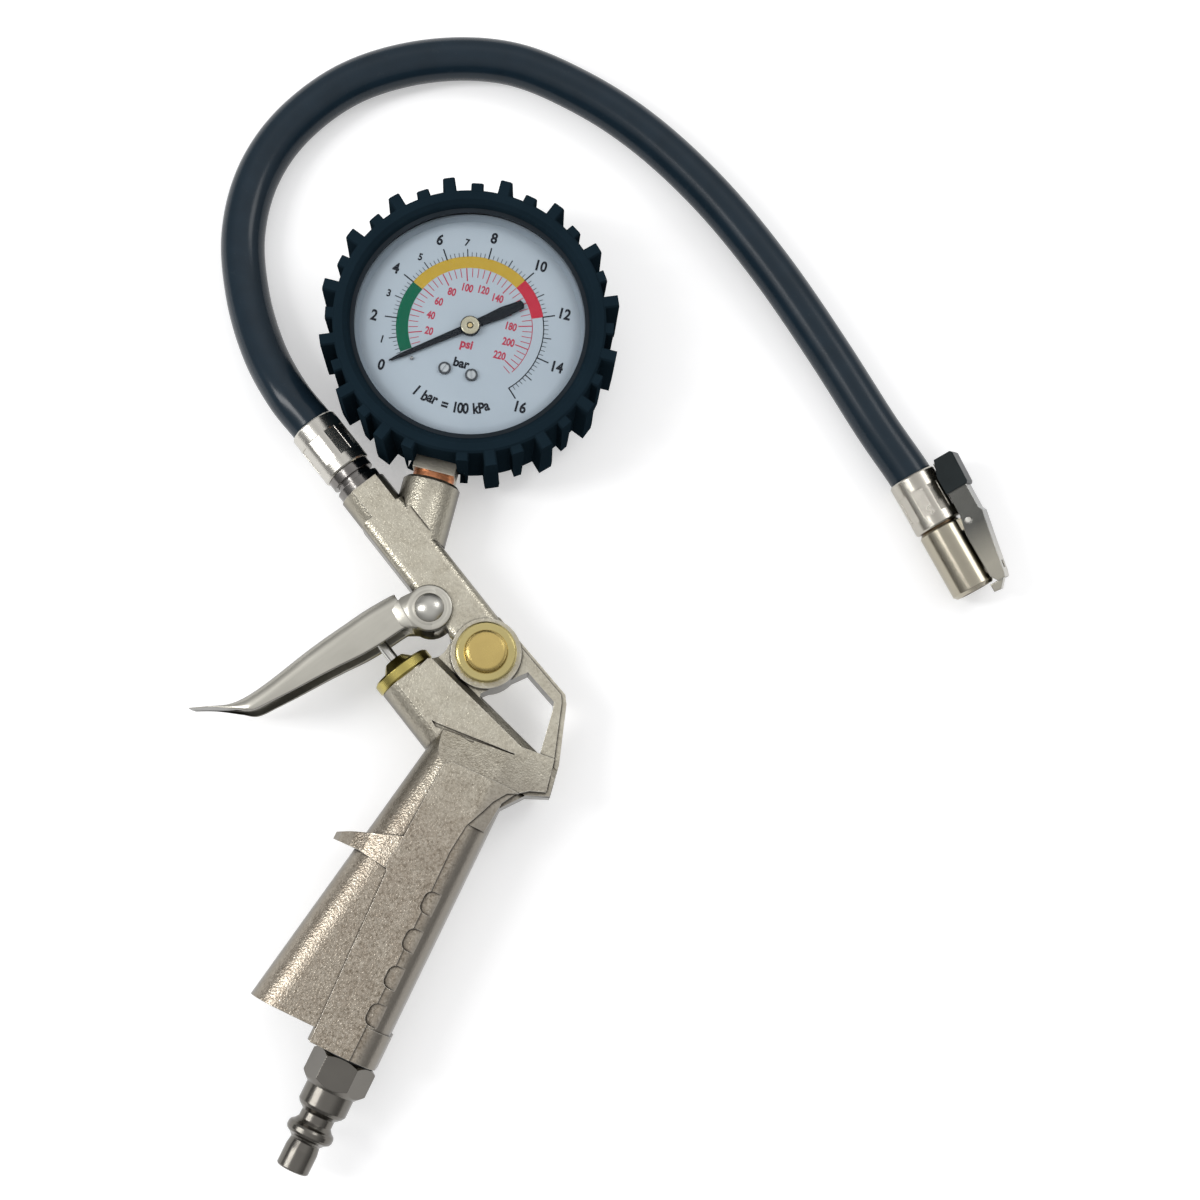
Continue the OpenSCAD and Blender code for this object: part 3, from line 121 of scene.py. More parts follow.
def turned(profile, segments):
    """Closed turned form: each (radius, height) of the profile is a circle round the z axis, and
    the profile's two ends, which lie on the axis, are single points. Faces look away from it."""
    profile = np.asarray(profile, float)
    t = np.linspace(0, 2 * np.pi, segments, endpoint=False)
    rings = profile[1:-1]
    rows = len(rings)
    points = np.stack([rings[:, :1] * np.cos(t), rings[:, :1] * np.sin(t),
                       np.repeat(rings[:, 1:], segments, 1)], -1).reshape(-1, 3)
    low, high = [0, 0, profile[0, 1]], [0, 0, profile[-1, 1]]
    points = np.vstack([points, low, high])
    k = np.arange(segments)
    k2 = (k + 1) % segments
    last = (rows - 1) * segments
    bottom = np.stack([np.full(segments, rows * segments), k2, k], -1)
    top = np.stack([np.full(segments, rows * segments + 1), last + k, last + k2], -1)
    return points, [grid_faces(rows, segments, ring_cols=True), bottom, top]


def smooth_line(points, steps):
    """Catmull-Rom curve through the inner points: cubic between each two, steps points to each."""
    p = np.asarray(points, float)
    a, b, c, d = p[:-3, None], p[1:-2, None], p[2:-1, None], p[3:, None]
    t = (np.arange(steps) / steps)[None, :, None]
    line = 0.5 * (2 * b + (c - a) * t + (2 * a - 5 * b + 4 * c - d) * t**2
                  + (3 * b - a - 3 * c + d) * t**3)
    return np.vstack([line.reshape(-1, p.shape[1]), p[-2:-1]])


def tube(line, radius, sides):
    """Round tube: a circle of the given radius square to the line at each of its points, closed
    by a point at each end. Returns points, faces and (distance along, turn round) per point."""
    tangent = np.gradient(line, axis=0)
    tangent /= np.linalg.norm(tangent, axis=1)[:, None]
    side = np.cross(tangent, [0.0, 0.0, 1.0])
    side /= np.linalg.norm(side, axis=1)[:, None]
    up = np.cross(side, tangent)
    t = np.linspace(0, 2 * np.pi, sides, endpoint=False)
    points = (line[:, None]
              + (radius[:, None] * np.cos(t))[..., None] * side[:, None]
              + (radius[:, None] * np.sin(t))[..., None] * up[:, None]).reshape(-1, 3)
    along = np.concatenate([[0], np.cumsum(np.linalg.norm(np.diff(line, axis=0), axis=1))])
    uv = np.stack([np.repeat(along, sides), np.tile(t / (2 * np.pi), len(line))], -1)
    points = np.vstack([points, line[0], line[-1]])
    uv = np.vstack([uv, [0, 0], [along[-1], 0]])
    k = np.arange(sides)
    k2 = (k + 1) % sides
    n = len(line) * sides
    first = np.stack([np.full(sides, n), k, k2], -1)
    last = np.stack([np.full(sides, n + 1), n - sides + k2, n - sides + k], -1)
    return points, [grid_faces(len(line), sides, ring_cols=True)[:, ::-1], first, last], uv


# ---------------------------------------------------------------------------
# Finishes: node graphs written as expressions
# ---------------------------------------------------------------------------


class Wire:
    """One output of a node graph. Arithmetic on it adds Math nodes."""

    def __init__(self, graph, socket):
        self.graph, self.socket = graph, socket

    def math(self, operation, *values, clamp=False):
        """A Math node over wires and numbers."""
        settings = {"operation": operation, "use_clamp": clamp}
        return self.graph.node("ShaderNodeMath", settings, dict(enumerate(values)))

    def __add__(self, other):
        return self.math("ADD", self, other)

    def __sub__(self, other):
        return self.math("SUBTRACT", self, other)

    def __rsub__(self, other):
        return self.math("SUBTRACT", other, self)

    def __mul__(self, other):
        return self.math("MULTIPLY", self, other)

    def __pow__(self, other):
        return self.math("POWER", self, other)

    def __abs__(self):
        return self.math("ABSOLUTE", self)

    def sin(self):
        return self.math("SINE", self)

    def cos(self):
        return self.math("COSINE", self)

    def or_more(self, other):
        """The larger of the two."""
        return self.math("MAXIMUM", self, other)

    def limited(self):
        """The value held between 0 and 1."""
        return self.math("ADD", self, 0.0, clamp=True)

    def step(self, low, high):
        """0 below low, 1 above high, and an even slope between."""
        return ((self - low) * (1.0 / (high - low))).limited()


class Graph:
    """The emptied node graph of a material or of the world."""

    def __init__(self, owner):
        owner.use_nodes = True
        self.tree = owner.node_tree
        self.tree.nodes.clear()

    def fill(self, socket, value):
        """A wire or a fixed value for one socket."""
        if isinstance(value, Wire):
            self.tree.links.new(value.socket, socket)
        elif socket.type == "RGBA" and len(value) == 3:
            socket.default_value = (*value, 1.0)
        else:
            socket.default_value = value

    def node(self, kind, settings=None, inputs=None, output=0):
        """Any node: its settings first, then the values or wires of its sockets."""
        made = self.tree.nodes.new(kind)
        for key, value in (settings or {}).items():
            setattr(made, key, value)
        for key, value in (inputs or {}).items():
            self.fill(made.inputs[key], value)
        return Wire(self, made.outputs[output])

    def axis(self, place, which):
        """X, Y or Z of a vector."""
        return self.node("ShaderNodeSeparateXYZ", {}, {"Vector": place}, output=which)


class Finish(Graph):
    """A material under construction: one Principled shader fed by object coordinates."""

    def __init__(self, name):
        self.material = bpy.data.materials.new(name)
        super().__init__(self.material)
        self.output = self.tree.nodes.new("ShaderNodeOutputMaterial")
        self.shader = self.tree.nodes.new("ShaderNodeBsdfPrincipled")
        self.tree.links.new(self.shader.outputs[0], self.output.inputs[0])
        self.place = self.node("ShaderNodeTexCoord", output="Object")

    def set(self, **sockets):
        """Values or wires for the shader's sockets, with _ for a space."""
        for key, value in sockets.items():
            self.fill(self.shader.inputs[key.replace("_", " ")], value)

    def local(self, origin_mm, turn):
        """Coordinates in a frame at origin, turned about z, still in metres."""
        moved = self.node("ShaderNodeVectorMath", {"operation": "SUBTRACT"},
                          {0: self.place, 1: tuple(np.asarray(origin_mm) * MM)})
        return self.node("ShaderNodeMapping", {"vector_type": "POINT"},
                         {"Vector": moved, "Rotation": (0, 0, -turn)})

    def scaled(self, place, scale):
        """A vector times a scale of its own for each axis."""
        return self.node("ShaderNodeVectorMath", {"operation": "MULTIPLY"}, {0: place, 1: scale})

    def noise(self, per_metre, detail=2.0, rough=0.5, place=None):
        """Cloudy noise, mostly between 0.3 and 0.7."""
        return self.node("ShaderNodeTexNoise", {"noise_dimensions": "3D"},
                         {"Vector": place or self.place, "Scale": per_metre,
                          "Detail": detail, "Roughness": rough}, output="Fac")

    def cells(self, per_metre):
        """Distance from the middle of the nearest cell."""
        return self.node("ShaderNodeTexVoronoi", {"feature": "F1"},
                         {"Vector": self.place, "Scale": per_metre}, output="Distance")

    def steepness(self):
        """The true normal's z without its sign: 1 on a level face, 0 on an upright one."""
        return abs(self.axis(self.node("ShaderNodeNewGeometry", output="Normal"), "Z"))

    def mix(self, first, second, factor):
        """Colour between first and second."""
        return self.node("ShaderNodeMix", {"data_type": "RGBA"},
                         {0: factor, 6: first, 7: second}, output=2)

    def soft_edge(self, radius_mm):
        """Normal rounded over the edges by the given radius."""
        return self.node("ShaderNodeBevel", {"samples": 6}, {"Radius": radius_mm * MM})

    def edge(self, rounded):
        """0 on a flat and up to 1 where the rounded normal leaves the true one."""
        true = self.node("ShaderNodeNewGeometry", output="Normal")
        dot = self.node("ShaderNodeVectorMath", {"operation": "DOT_PRODUCT"},
                        {0: rounded, 1: true}, output="Value")
        return ((1.0 - dot) * 6.0).limited()

    def crease(self, reach_mm, gain=2.4):
        """1 deep in an inner corner of the piece, 0 on its open faces: the mask for painted shade
        in creases.
        """
        open_sky = self.node("ShaderNodeAmbientOcclusion", {"samples": 8, "only_local": True},
                             {"Distance": reach_mm * MM}, output="AO")
        return ((0.94 - open_sky) * gain).limited()

    def bump(self, height, depth_mm, normal=None, strength=1.0):
        """Normal for a relief of the given depth, laid over another normal if there is one."""
        inputs = {"Height": height, "Distance": depth_mm * MM, "Strength": strength}
        if normal is not None:
            inputs["Normal"] = normal
        return self.node("ShaderNodeBump", {}, inputs)


def shade(colour, gain):
    """A colour made darker or lighter."""
    return tuple(min(1.0, c * gain) for c in colour)


def worn_metal(name, colour, roughness, edge_mm=0.25, edge_gain=1.35, crease_mm=0.0):
    """Plain worked metal: slight cloudiness in colour and roughness, a fine grain, soft edges that
    edge_gain above 1 lightens with rubbed wear and painted highlight and edge_gain below 1 darkens
    with painted shade, and, where a crease is given, painted shade in the inner corners."""
    f = Finish(name)
    cloud = f.noise(160.0, 3.0)
    fine = f.noise(1800.0, 2.0)
    rounded = f.soft_edge(edge_mm)
    edge = f.edge(rounded)
    base = f.mix(shade(colour, 0.88), shade(colour, 1.12), cloud)
    # edges by edge_gain: rubbed wear and painted highlight above 1, painted shade below 1
    base = f.mix(base, shade(colour, edge_gain), edge * 0.5)
    if crease_mm > 0.0:
        # painted shade in the inner corners
        crease_shade = tuple(c * c * 0.35 for c in colour)
        base = f.mix(base, crease_shade, f.crease(crease_mm, 1.7))
    f.set(Base_Color=base, Metallic=1.0,
          Roughness=(cloud - 0.5) * 0.08 + (fine - 0.5) * 0.06 + roughness,
          Normal=f.bump(fine, 0.02, rounded))
    return f


def cast_finish():
    """Satin nickel over a die casting: finely pebbled flats with brown specks and painted highlight
    flecks, smoother side walls darkened with painted shade, a smoother and darker rear slope, edges
    brightened partly by rubbed wear and partly by painted highlight, and painted shade in the
    creases."""
    f = Finish("satin_nickel_casting")
    grip = f.local(BODY, 0.0)
    below = (f.axis(grip, "Y") * -1.0).step(0.088, 0.118)  # 1 on the grip, 0 on the arm
    rear = below * f.axis(grip, "X").step(0.0545, 0.0565)
    pebble = f.cells(1900.0)
    fine = f.noise(3200.0, 2.0)
    cloud = f.noise(260.0, 4.0, 0.6)
    rounded = f.soft_edge(0.2)
    edge = f.edge(rounded)
    flat = f.steepness().step(0.20, 0.88)
    pale = f.mix((0.60, 0.565, 0.465), (0.42, 0.37, 0.30), below)
    deep = f.mix((0.50, 0.465, 0.375), (0.345, 0.295, 0.235), below)
    base = f.mix(pale, deep, cloud.step(0.36, 0.64))
    patches = f.noise(75.0, 3.0, 0.6).step(0.36, 0.62)
    specks = f.noise(1250.0, 5.0, 0.8).step(0.46, 0.64)
    # painted highlight: bright flecks on the flats stand for light caught by the pebbling
    painted_glints = f.noise(1500.0, 5.0, 0.8).step(0.50, 0.68)
    speck_share = (below * 0.44 + 0.16 + patches * 0.26) * flat
    painted_glint_share = (below * 0.26 + 0.16 + patches * 0.18) * flat
    base = f.mix(base, (0.11, 0.085, 0.055), specks * speck_share)
    base = f.mix(base, (0.70, 0.65, 0.56), painted_glints * painted_glint_share)
    # painted shade: side walls, where the true normal is far from upright, take a dark colour
    base = f.mix((0.14, 0.13, 0.11), base, flat)
    base = f.mix(base, (0.25, 0.23, 0.20), rear * 0.85)
    # brighter edges on the flats: partly rubbed wear, partly painted highlight
    base = f.mix(base, (0.88, 0.85, 0.77), edge * (flat * 0.75 + 0.05))
    # painted shade: dark lines in the inner creases
    base = f.mix(base, (0.035, 0.028, 0.022), f.crease(0.7))
    height = (pebble * 0.5 + fine * 0.5) * (flat * (1.0 - rear * 0.85) * 0.85 + 0.15)
    f.set(Base_Color=base, Metallic=0.9, Roughness=cloud * 0.10 + fine * 0.08 + 0.22,
          Normal=f.bump(height, 0.12, rounded))
    return f


def turned_metal(name, colour, roughness, origin, turn):
    """Metal from the lathe: fine rings round the axis that runs along x of the given frame."""
    f = Finish(name)
    along = f.axis(f.local(origin, turn), "X")
    cloud = f.noise(220.0, 3.0)
    ring_mm = 0.35
    rings = (along * (2 * math.pi / (ring_mm * MM)) + cloud * 3.0).sin()
    rounded = f.soft_edge(0.2)
    edge = f.edge(rounded)
    base = f.mix(shade(colour, 0.85), colour, cloud)
    # edges brighter: partly rubbed wear, partly painted highlight
    base = f.mix(base, shade(colour, 1.3), edge * 0.6)
    f.set(Base_Color=base, Metallic=1.0, Roughness=cloud * 0.1 + (roughness - 0.05),
          Normal=f.bump(rings, 0.012, rounded, 0.5))
    return f


def rubber(name, colour, roughness, edge_mm=0.4, pale=1.8, gloss=0.3):
    """Moulded rubber: faint bloom in patches, a fine matt grain and a painted highlight on its
    edges.
    """
    f = Finish(name)
    bloom = f.noise(90.0, 4.0, 0.6)
    fine = f.noise(2200.0, 2.0)
    rounded = f.soft_edge(edge_mm)
    edge = f.edge(rounded)
    base = f.mix(colour, shade(colour, pale), bloom.step(0.42, 0.75) * 0.5)
    # painted highlight: lighter edges
    base = f.mix(base, shade(colour, pale + 0.6), edge * 0.4)
    f.set(Base_Color=base, Roughness=bloom * 0.12 + fine * 0.06 + (roughness - 0.09),
          Specular_IOR_Level=gloss, Normal=f.bump(fine, 0.02, rounded))
    return f


def hose_finish():
    """Extruded rubber hose: glossy skin with long faint ripples, read along the hose's own map."""
    f = Finish("hose_skin")
    uv = f.node("ShaderNodeUVMap", {"uv_map": "along"})
    turn = f.axis(uv, "Y") * (2 * math.pi)
    circle = f.node("ShaderNodeCombineXYZ", {},
                    {"X": turn.cos(), "Y": turn.sin(), "Z": f.axis(uv, "X") * 0.1})
    ripple = f.noise(1.0, 3.0, 0.55, circle)
    mottle = f.noise(160.0, 3.0)
    fine = f.noise(1500.0, 2.0)
    base = f.mix((0.0075, 0.0155, 0.0235), (0.0125, 0.0255, 0.039), mottle)
    dust = f.noise(500.0, 4.0, 0.7).step(0.62, 0.78)
    base = f.mix(base, (0.05, 0.06, 0.07), dust * 0.2)
    f.set(Base_Color=base, Roughness=ripple * 0.26 + fine * 0.04 + 0.06, Specular_IOR_Level=0.24,
          Normal=f.bump(ripple + fine * 0.04, 0.12, strength=0.6))
    return f


def brushed_steel():
    """Pressed steel of the trigger: brushed along its length, edges brighter with rubbed wear and
    painted highlight, painted shade on its upright faces and bends and inside its channel.
    """
    f = Finish("brushed_trigger_steel")
    place = f.local(BODY, ARM_TURN)
    streaks = f.noise(2400.0, 3.0, 0.6, f.scaled(place, (1.0, 0.06, 1.0)))
    cloud = f.noise(120.0, 3.0)
    rounded = f.soft_edge(0.25)
    edge = f.edge(rounded)
    base = f.mix((0.47, 0.455, 0.40), (0.60, 0.58, 0.515), cloud * 0.6 + streaks * 0.4)
    # edges brighter: partly rubbed wear, partly painted highlight
    base = f.mix(base, (0.66, 0.64, 0.59), edge * 0.3)
    # painted shade: upright faces and bends darker
    base = f.mix((0.13, 0.125, 0.11), base, f.steepness().step(0.25, 0.96))
    # painted shade inside the channel
    base = f.mix(base, (0.03, 0.028, 0.025), f.crease(9.0, 1.6))
    f.set(Base_Color=base, Metallic=0.95, Roughness=streaks * 0.16 + cloud * 0.06 + 0.22,
          Normal=f.bump(streaks, 0.015, rounded))
    return f


def clip_finish():
    """Nickelled pressed clip: painted shade makes it dark beside its cap, brighter toward the
    chuck's mouth, with a painted highlight on its edges.
    """
    f = Finish("clip_nickel")
    along = f.axis(f.local(CHUCK_START, CHUCK_TURN), "X")
    cloud = f.noise(160.0, 3.0)
    fine = f.noise(1800.0, 2.0)
    rounded = f.soft_edge(0.45)
    edge = f.edge(rounded)
    # painted shade: the clip is coloured dark beside its cap
    base = f.mix((0.095, 0.095, 0.088), (0.125, 0.125, 0.115), cloud)
    base = f.mix(base, (0.40, 0.38, 0.32), along.step(0.019, 0.030))
    # painted highlight on the bent edges
    base = f.mix(base, (0.74, 0.74, 0.70), edge * 0.5)
    f.set(Base_Color=base, Metallic=1.0,
          Roughness=(cloud - 0.5) * 0.08 + (fine - 0.5) * 0.06 + 0.22,
          Normal=f.bump(fine, 0.02, rounded))
    return f


def dial_finish():
    """Bluish white enamel of the dial: faint cloudiness, and painted shade that greys it toward its
    turned-up rim.
    """
    f = Finish("dial_enamel")
    radius = f.node("ShaderNodeVectorMath", {"operation": "LENGTH"},
                    {0: f.scaled(f.place, (1.0, 1.0, 0.0))}, output="Value")
    cloud = f.noise(70.0, 3.0)
    fine = f.noise(3000.0, 2.0)
    base = f.mix((0.37, 0.445, 0.51), (0.44, 0.515, 0.575), cloud)
    # painted shade: greyer toward the rim
    base = f.mix(base, (0.20, 0.245, 0.29), radius.step(0.0262, 0.0290) * 0.8)
    f.set(Base_Color=base, Roughness=fine * 0.1 + 0.32, Normal=f.bump(fine, 0.004))
    return f


def screw_finish():
    """Small dial screws: pale head inside a dark rim."""
    f = Finish("screw_grey")
    stem = f.local((0.0, 0.0, 0.0), STEM_TURN)
    across, along = abs(f.axis(stem, "Y")), f.axis(stem, "X")
    away = ((across - SCREW_Y * MM) ** 2.0 + (along - SCREW_X * MM) ** 2.0) ** 0.5
    cloud = f.noise(900.0, 2.0)
    base = f.mix((0.40, 0.44, 0.46), (0.55, 0.59, 0.61), cloud)
    base = f.mix(base, (0.05, 0.06, 0.07), away.step(0.00095, 0.0012))
    f.set(Base_Color=base, Metallic=0.5, Roughness=cloud * 0.1 + 0.35,
          Normal=f.bump(cloud, 0.01))
    return f


def print_finish(name, colour):
    """Screen print: slightly uneven ink."""
    f = Finish(name)
    wet = f.noise(900.0, 3.0)
    base = f.mix(shade(colour, 0.85), shade(colour, 1.12), wet)
    f.set(Base_Color=base, Roughness=wet * 0.2 + 0.35, Specular_IOR_Level=0.12,
          Normal=f.bump(wet, 0.003))
    return f


def glass_finish():
    """Thin clear window: only its reflection is laid over what lies behind."""
    f = Finish("window_glass")
    wave = f.noise(25.0, 2.0)
    facing = f.node("ShaderNodeFresnel", {}, {"IOR": 1.45})
    f.set(Base_Color=f.mix((0.90, 0.95, 1.0), (0.97, 0.99, 1.0), wave), Metallic=1.0,
          Roughness=wave * 0.03 + 0.02, Alpha=(facing * 0.2).limited(),
          Normal=f.bump(wave, 0.02, strength=0.3))
    return f


# ---------------------------------------------------------------------------
# Which finish each solid has
# ---------------------------------------------------------------------------

ARM_ACROSS = ARM_TURN + math.pi / 2

FINISHES = {
    cast_finish(): ["body_casting"],
    turned_metal("plug_steel_turned", (0.165, 0.155, 0.138), 0.22, PLUG_START, PLUG_TURN):
        ["inlet_plug"],
    rubber("seal_rubber", (0.022, 0.022, 0.024), 0.5, 0.1):
        ["inlet_seal", "stem_oring", "poppet_seal", "bleed_seal", "lens_gasket", "chuck_seal"],
    turned_metal("gland_brass", (0.50, 0.42, 0.13), 0.22, BODY, ARM_ACROSS): ["gland_nut"],
    worn_metal("inner_brass", (0.62, 0.5, 0.24), 0.3, 0.1): ["valve_seat", "chuck_core_pin"],
    worn_metal("tail_bronze", (0.09, 0.06, 0.035), 0.35, 0.1): ["chuck_tail"],
    # collar: edges darkened with painted shade (edge_gain below 1) and painted shade in its inner
    # corners
    worn_metal("collar_brass", (0.58, 0.49, 0.215), 0.2, 0.6, edge_gain=0.75, crease_mm=1.6):
        ["bleed_bush"],
    # button: its rounded rim darkened with painted shade (edge_gain below 1)
    worn_metal("button_gold", (0.60, 0.455, 0.165), 0.26, 0.9, edge_gain=0.42): ["bleed_button"],
    turned_metal("stem_polished", (0.66, 0.65, 0.61), 0.2, BODY, ARM_ACROSS): ["valve_stem"],
    brushed_steel(): ["trigger"],
    worn_metal("rivet_bright", (0.50, 0.49, 0.45), 0.3, 0.4): ["trigger_pin", "clip_pin"],
    worn_metal("washer_copper", (0.66, 0.27, 0.13), 0.3, 0.2): ["gauge_washer"],
    worn_metal("socket_nickel", (0.60, 0.56, 0.47), 0.3, 0.3): ["gauge_socket"],
    rubber("case_black", (0.010, 0.015, 0.020), 0.4, 0.2, gloss=0.12):
        ["gauge_case", "gauge_bezel"],
    glass_finish(): ["gauge_lens"],
    dial_finish(): ["gauge_dial"],
    screw_finish(): ["dial_screws"],
    rubber("pointer_black", (0.006, 0.009, 0.013), 0.55, 0.12, gloss=0.1): ["pointer"],
    worn_metal("movement_brass", (0.62, 0.5, 0.26), 0.32, 0.08):
        ["pinion_shaft", "sector_gear", "movement_plates", "tube_link", "bourdon_tube"],
    worn_metal("spring_wire", (0.52, 0.52, 0.5), 0.3, 0.05):
        ["valve_spring", "bleed_spring", "hairspring", "clip_spring"],
    rubber("boot_rubber", (0.0088, 0.0178, 0.0255), 0.62, 0.3, pale=1.35, gloss=0.0):
        ["gauge_boot"],
    worn_metal("nipple_dark", (0.20, 0.19, 0.18), 0.18, 0.3): ["hose_nipple"],
    turned_metal("ferrule_bright", (0.60, 0.58, 0.53), 0.26, BODY, ARM_TURN): ["ferrule_body"],
    turned_metal("ferrule_chuck_bright", (0.50, 0.475, 0.42), 0.26, CHUCK_START, CHUCK_TURN):
        ["ferrule_chuck"],
    turned_metal("chuck_bright", (0.43, 0.395, 0.315), 0.2, CHUCK_START, CHUCK_TURN):
        ["chuck_body"],
    clip_finish(): ["chuck_clip"],
    rubber("cap_plastic", (0.0125, 0.0165, 0.0175), 0.36, 0.4, gloss=0.1): ["clip_cap"],
}

for finish, names in FINISHES.items():
    for name in names:
        nodes[name].data.materials.clear()
        nodes[name].data.materials.append(finish.material)

# ---------------------------------------------------------------------------
# Trigger
# ---------------------------------------------------------------------------

# u and v of the pressed sheet's back and front edge at the same stations, in the arm's frame
TRIGGER_BACK = [[40.6, -56.0], [40.2, -57.8], [39.4, -64.1], [39.1, -70.3], [38.8, -76.4],
                [38.7, -82.6], [38.85, -88.9], [38.9, -95.2], [38.5, -100.9], [37.3, -105.2],
                [34.3, -109.7], [31.5, -113.7]]
TRIGGER_FRONT = [[50.6, -57.4], [49.4, -59.1], [48.9, -66.0], [48.2, -71.6], [47.0, -77.4],
                 [45.9, -83.4], [44.9, -89.6], [43.7, -96.0], [42.4, -101.6], [39.6, -104.6],
                 [35.4, -108.9], [32.3, -113.1]]
TRIGGER_HALF = 8.1  # half the width over both cheeks
SHEET = 1.2
BEND = 3.1
PIVOT = np.array([49.1, -51.2])
NARROW_FROM, TIP_NARROWING = 0.72, 4.6  # share of the length, and millimetres at the tip


def channel(back, front, half, thick, bend):
    """Pressed channel: across each station the sheet runs from the lower front edge, round a bend
    of the given radius, along the web and round a second bend to the upper front edge. Outer and
    inner face are one closed ring of points, joined by the two sheet edges; both ends closed."""
    across = back - front
    width = np.linalg.norm(across, axis=1)
    across /= width[:, None]
    steps = 14
    turn = np.linspace(0, np.pi / 2, steps)

    def skin(inset):
        """Points (depth toward the back, height) of one face, from lower to upper front edge."""
        inset = np.broadcast_to(inset, width.shape)
        w, h = width - inset, half - inset
        r = np.maximum(np.minimum(np.minimum(bend, w * 0.8), h * 0.8) - inset, 0.05)
        rise = np.sin(np.linspace(0, 1, steps) * np.pi / 2)  # cheek leans in at the front
        flat = np.linspace(0, 1, steps)[None, :] * (w - r)[:, None]
        lean = 0.45 * np.minimum(1, width / 6) * np.minimum(1, np.arange(len(w)) / (0.3 * len(w)))
        up = h[:, None] - (1 - rise) * lean[:, None]
        arc_d = (w - r)[:, None] + r[:, None] * np.sin(turn)
        arc_h = h[:, None] - r[:, None] * (1 - np.cos(turn))
        upper_d = np.hstack([flat[:, :-1], arc_d])
        upper_h = np.hstack([up[:, :-1], arc_h])
        return (np.hstack([upper_d, upper_d[:, ::-1]]), np.hstack([-upper_h, upper_h[:, ::-1]]))

    outer_d, outer_h = skin(0.0)
    inner_d, inner_h = skin(thick)
    d = np.hstack([outer_d, inner_d[:, ::-1]])
    h = np.hstack([outer_h, inner_h[:, ::-1]])
    flat = front[:, None] + d[..., None] * across[:, None]
    rows, cols = h.shape
    points = arm_point(*flat.reshape(-1, 2).T, h.ravel())
    k = np.arange(cols // 2 - 1)
    cap = np.stack([k, k + 1, cols - 2 - k, cols - 1 - k], -1)
    end = (rows - 1) * cols
    return points, [grid_faces(rows, cols, ring_cols=True)[:, ::-1], cap, (cap + end)[:, ::-1]]


def ear(sign):
    """Ear round the rivet: a profile of (radius, height) turned about the pivot, from the hole
    along the face, with a shallow groove and a rounded rim, and back along the inner face."""
    profile = np.array([(2.0, 0.0), (4.1, 0.0), (4.35, -0.1), (4.6, 0.0), (5.45, -0.02),
                        (5.75, -0.14), (5.9, -0.45), (5.9, -1.1), (2.0, -1.1)])
    t = np.linspace(0, 2 * np.pi, 72, endpoint=False)
    circle = np.stack([np.cos(t), np.sin(t)], -1)
    flat = (PIVOT + profile[:, :1, None] * circle).reshape(-1, 2)
    height = np.repeat(TRIGGER_HALF + profile[:, 1], len(t)) * sign
    faces = grid_faces(len(profile), len(t), ring_rows=True, ring_cols=True)
    return arm_point(*flat.T, height), [faces if sign < 0 else faces[:, ::-1]]


def cheek(sign):
    """Flat neck between the channel and the ear, as thick as the sheet: an anticlockwise outline
    at three levels, the top one drawn in by a small bevel."""
    outline = np.array([[42.7, -55.2], [42.9, -56.6], [44.0, -59.0], [48.4, -59.6], [49.5, -58.9],
                        [50.6, -57.4], [53.7, -54.1], [50.0, -50.0], [46.0, -47.0], [44.2, -48.9],
                        [43.1, -53.2]])
    inset = outline + (outline.mean(0) - outline) * 0.02
    n = len(outline)
    levels = [(inset, 0.03), (outline, -0.12), (outline, -SHEET)]
    flat = np.vstack([o for o, _ in levels])
    height = np.concatenate([np.full(n, TRIGGER_HALF - 0.05 + z) for _, z in levels]) * sign
    ring = grid_faces(3, n, ring_cols=True)
    top, bottom = np.arange(n)[None, :], (np.arange(n) + 2 * n)[None, ::-1]
    faces = [ring[:, ::-1], top, bottom]
    if sign < 0:
        faces = [f[:, ::-1] for f in faces]
    return arm_point(*flat.T, height), faces


def sheet_edge(stations):
    """Smooth curve through all stations; one more past each end gives it its direction there."""
    p = np.array(stations)
    return smooth_line(np.vstack([2 * p[0] - p[1], p, 2 * p[-1] - p[-2]]), 8)


def trigger():
    """Pressed trigger: a channel that narrows and thins toward its tip, two necks and two ears."""
    back, front = sheet_edge(TRIGGER_BACK), sheet_edge(TRIGGER_FRONT)
    along = np.linspace(0, 1, len(back))
    past = np.maximum(along - NARROW_FROM, 0) / (1 - NARROW_FROM)
    half = TRIGGER_HALF - past ** 1.3 * TIP_NARROWING
    parts = [channel(back, front, half, SHEET - 0.35 * along, BEND)]
    parts += [ear(1), ear(-1), cheek(1), cheek(-1)]
    make_piece("trigger_sheet", *joined(parts), brushed_steel(), "trigger", "trigger_steel",
               stands_for=("trigger",))


# ---------------------------------------------------------------------------
# Hose
# ---------------------------------------------------------------------------

HOSE_ROUTE = [
    [-36.4, -33.7, 12.0], [-47.8, -25.4, 9.2], [-59.1, -13.3, 6.4], [-68.2, 1.6, 5.7],
    [-72.2, 18.6, 5.7], [-70.0, 36.0, 5.7], [-61.2, 53.6, 5.7], [-45.5, 68.1, 5.7],
    [-26.3, 77.0, 5.7], [-5.2, 78.3, 5.7], [16, 75.2, 5.7], [39.1, 67.5, 5.7], [62.1, 56.2, 5.7],
    [85.1, 42.3, 5.7], [105.6, 28.7, 6.1],
]


def ferrule_point(a):
    """Place on the body ferrule's axis, a millimetres inside the hose's end."""
    return arm_point(HOSE_START[0] + a, HOSE_START[1])


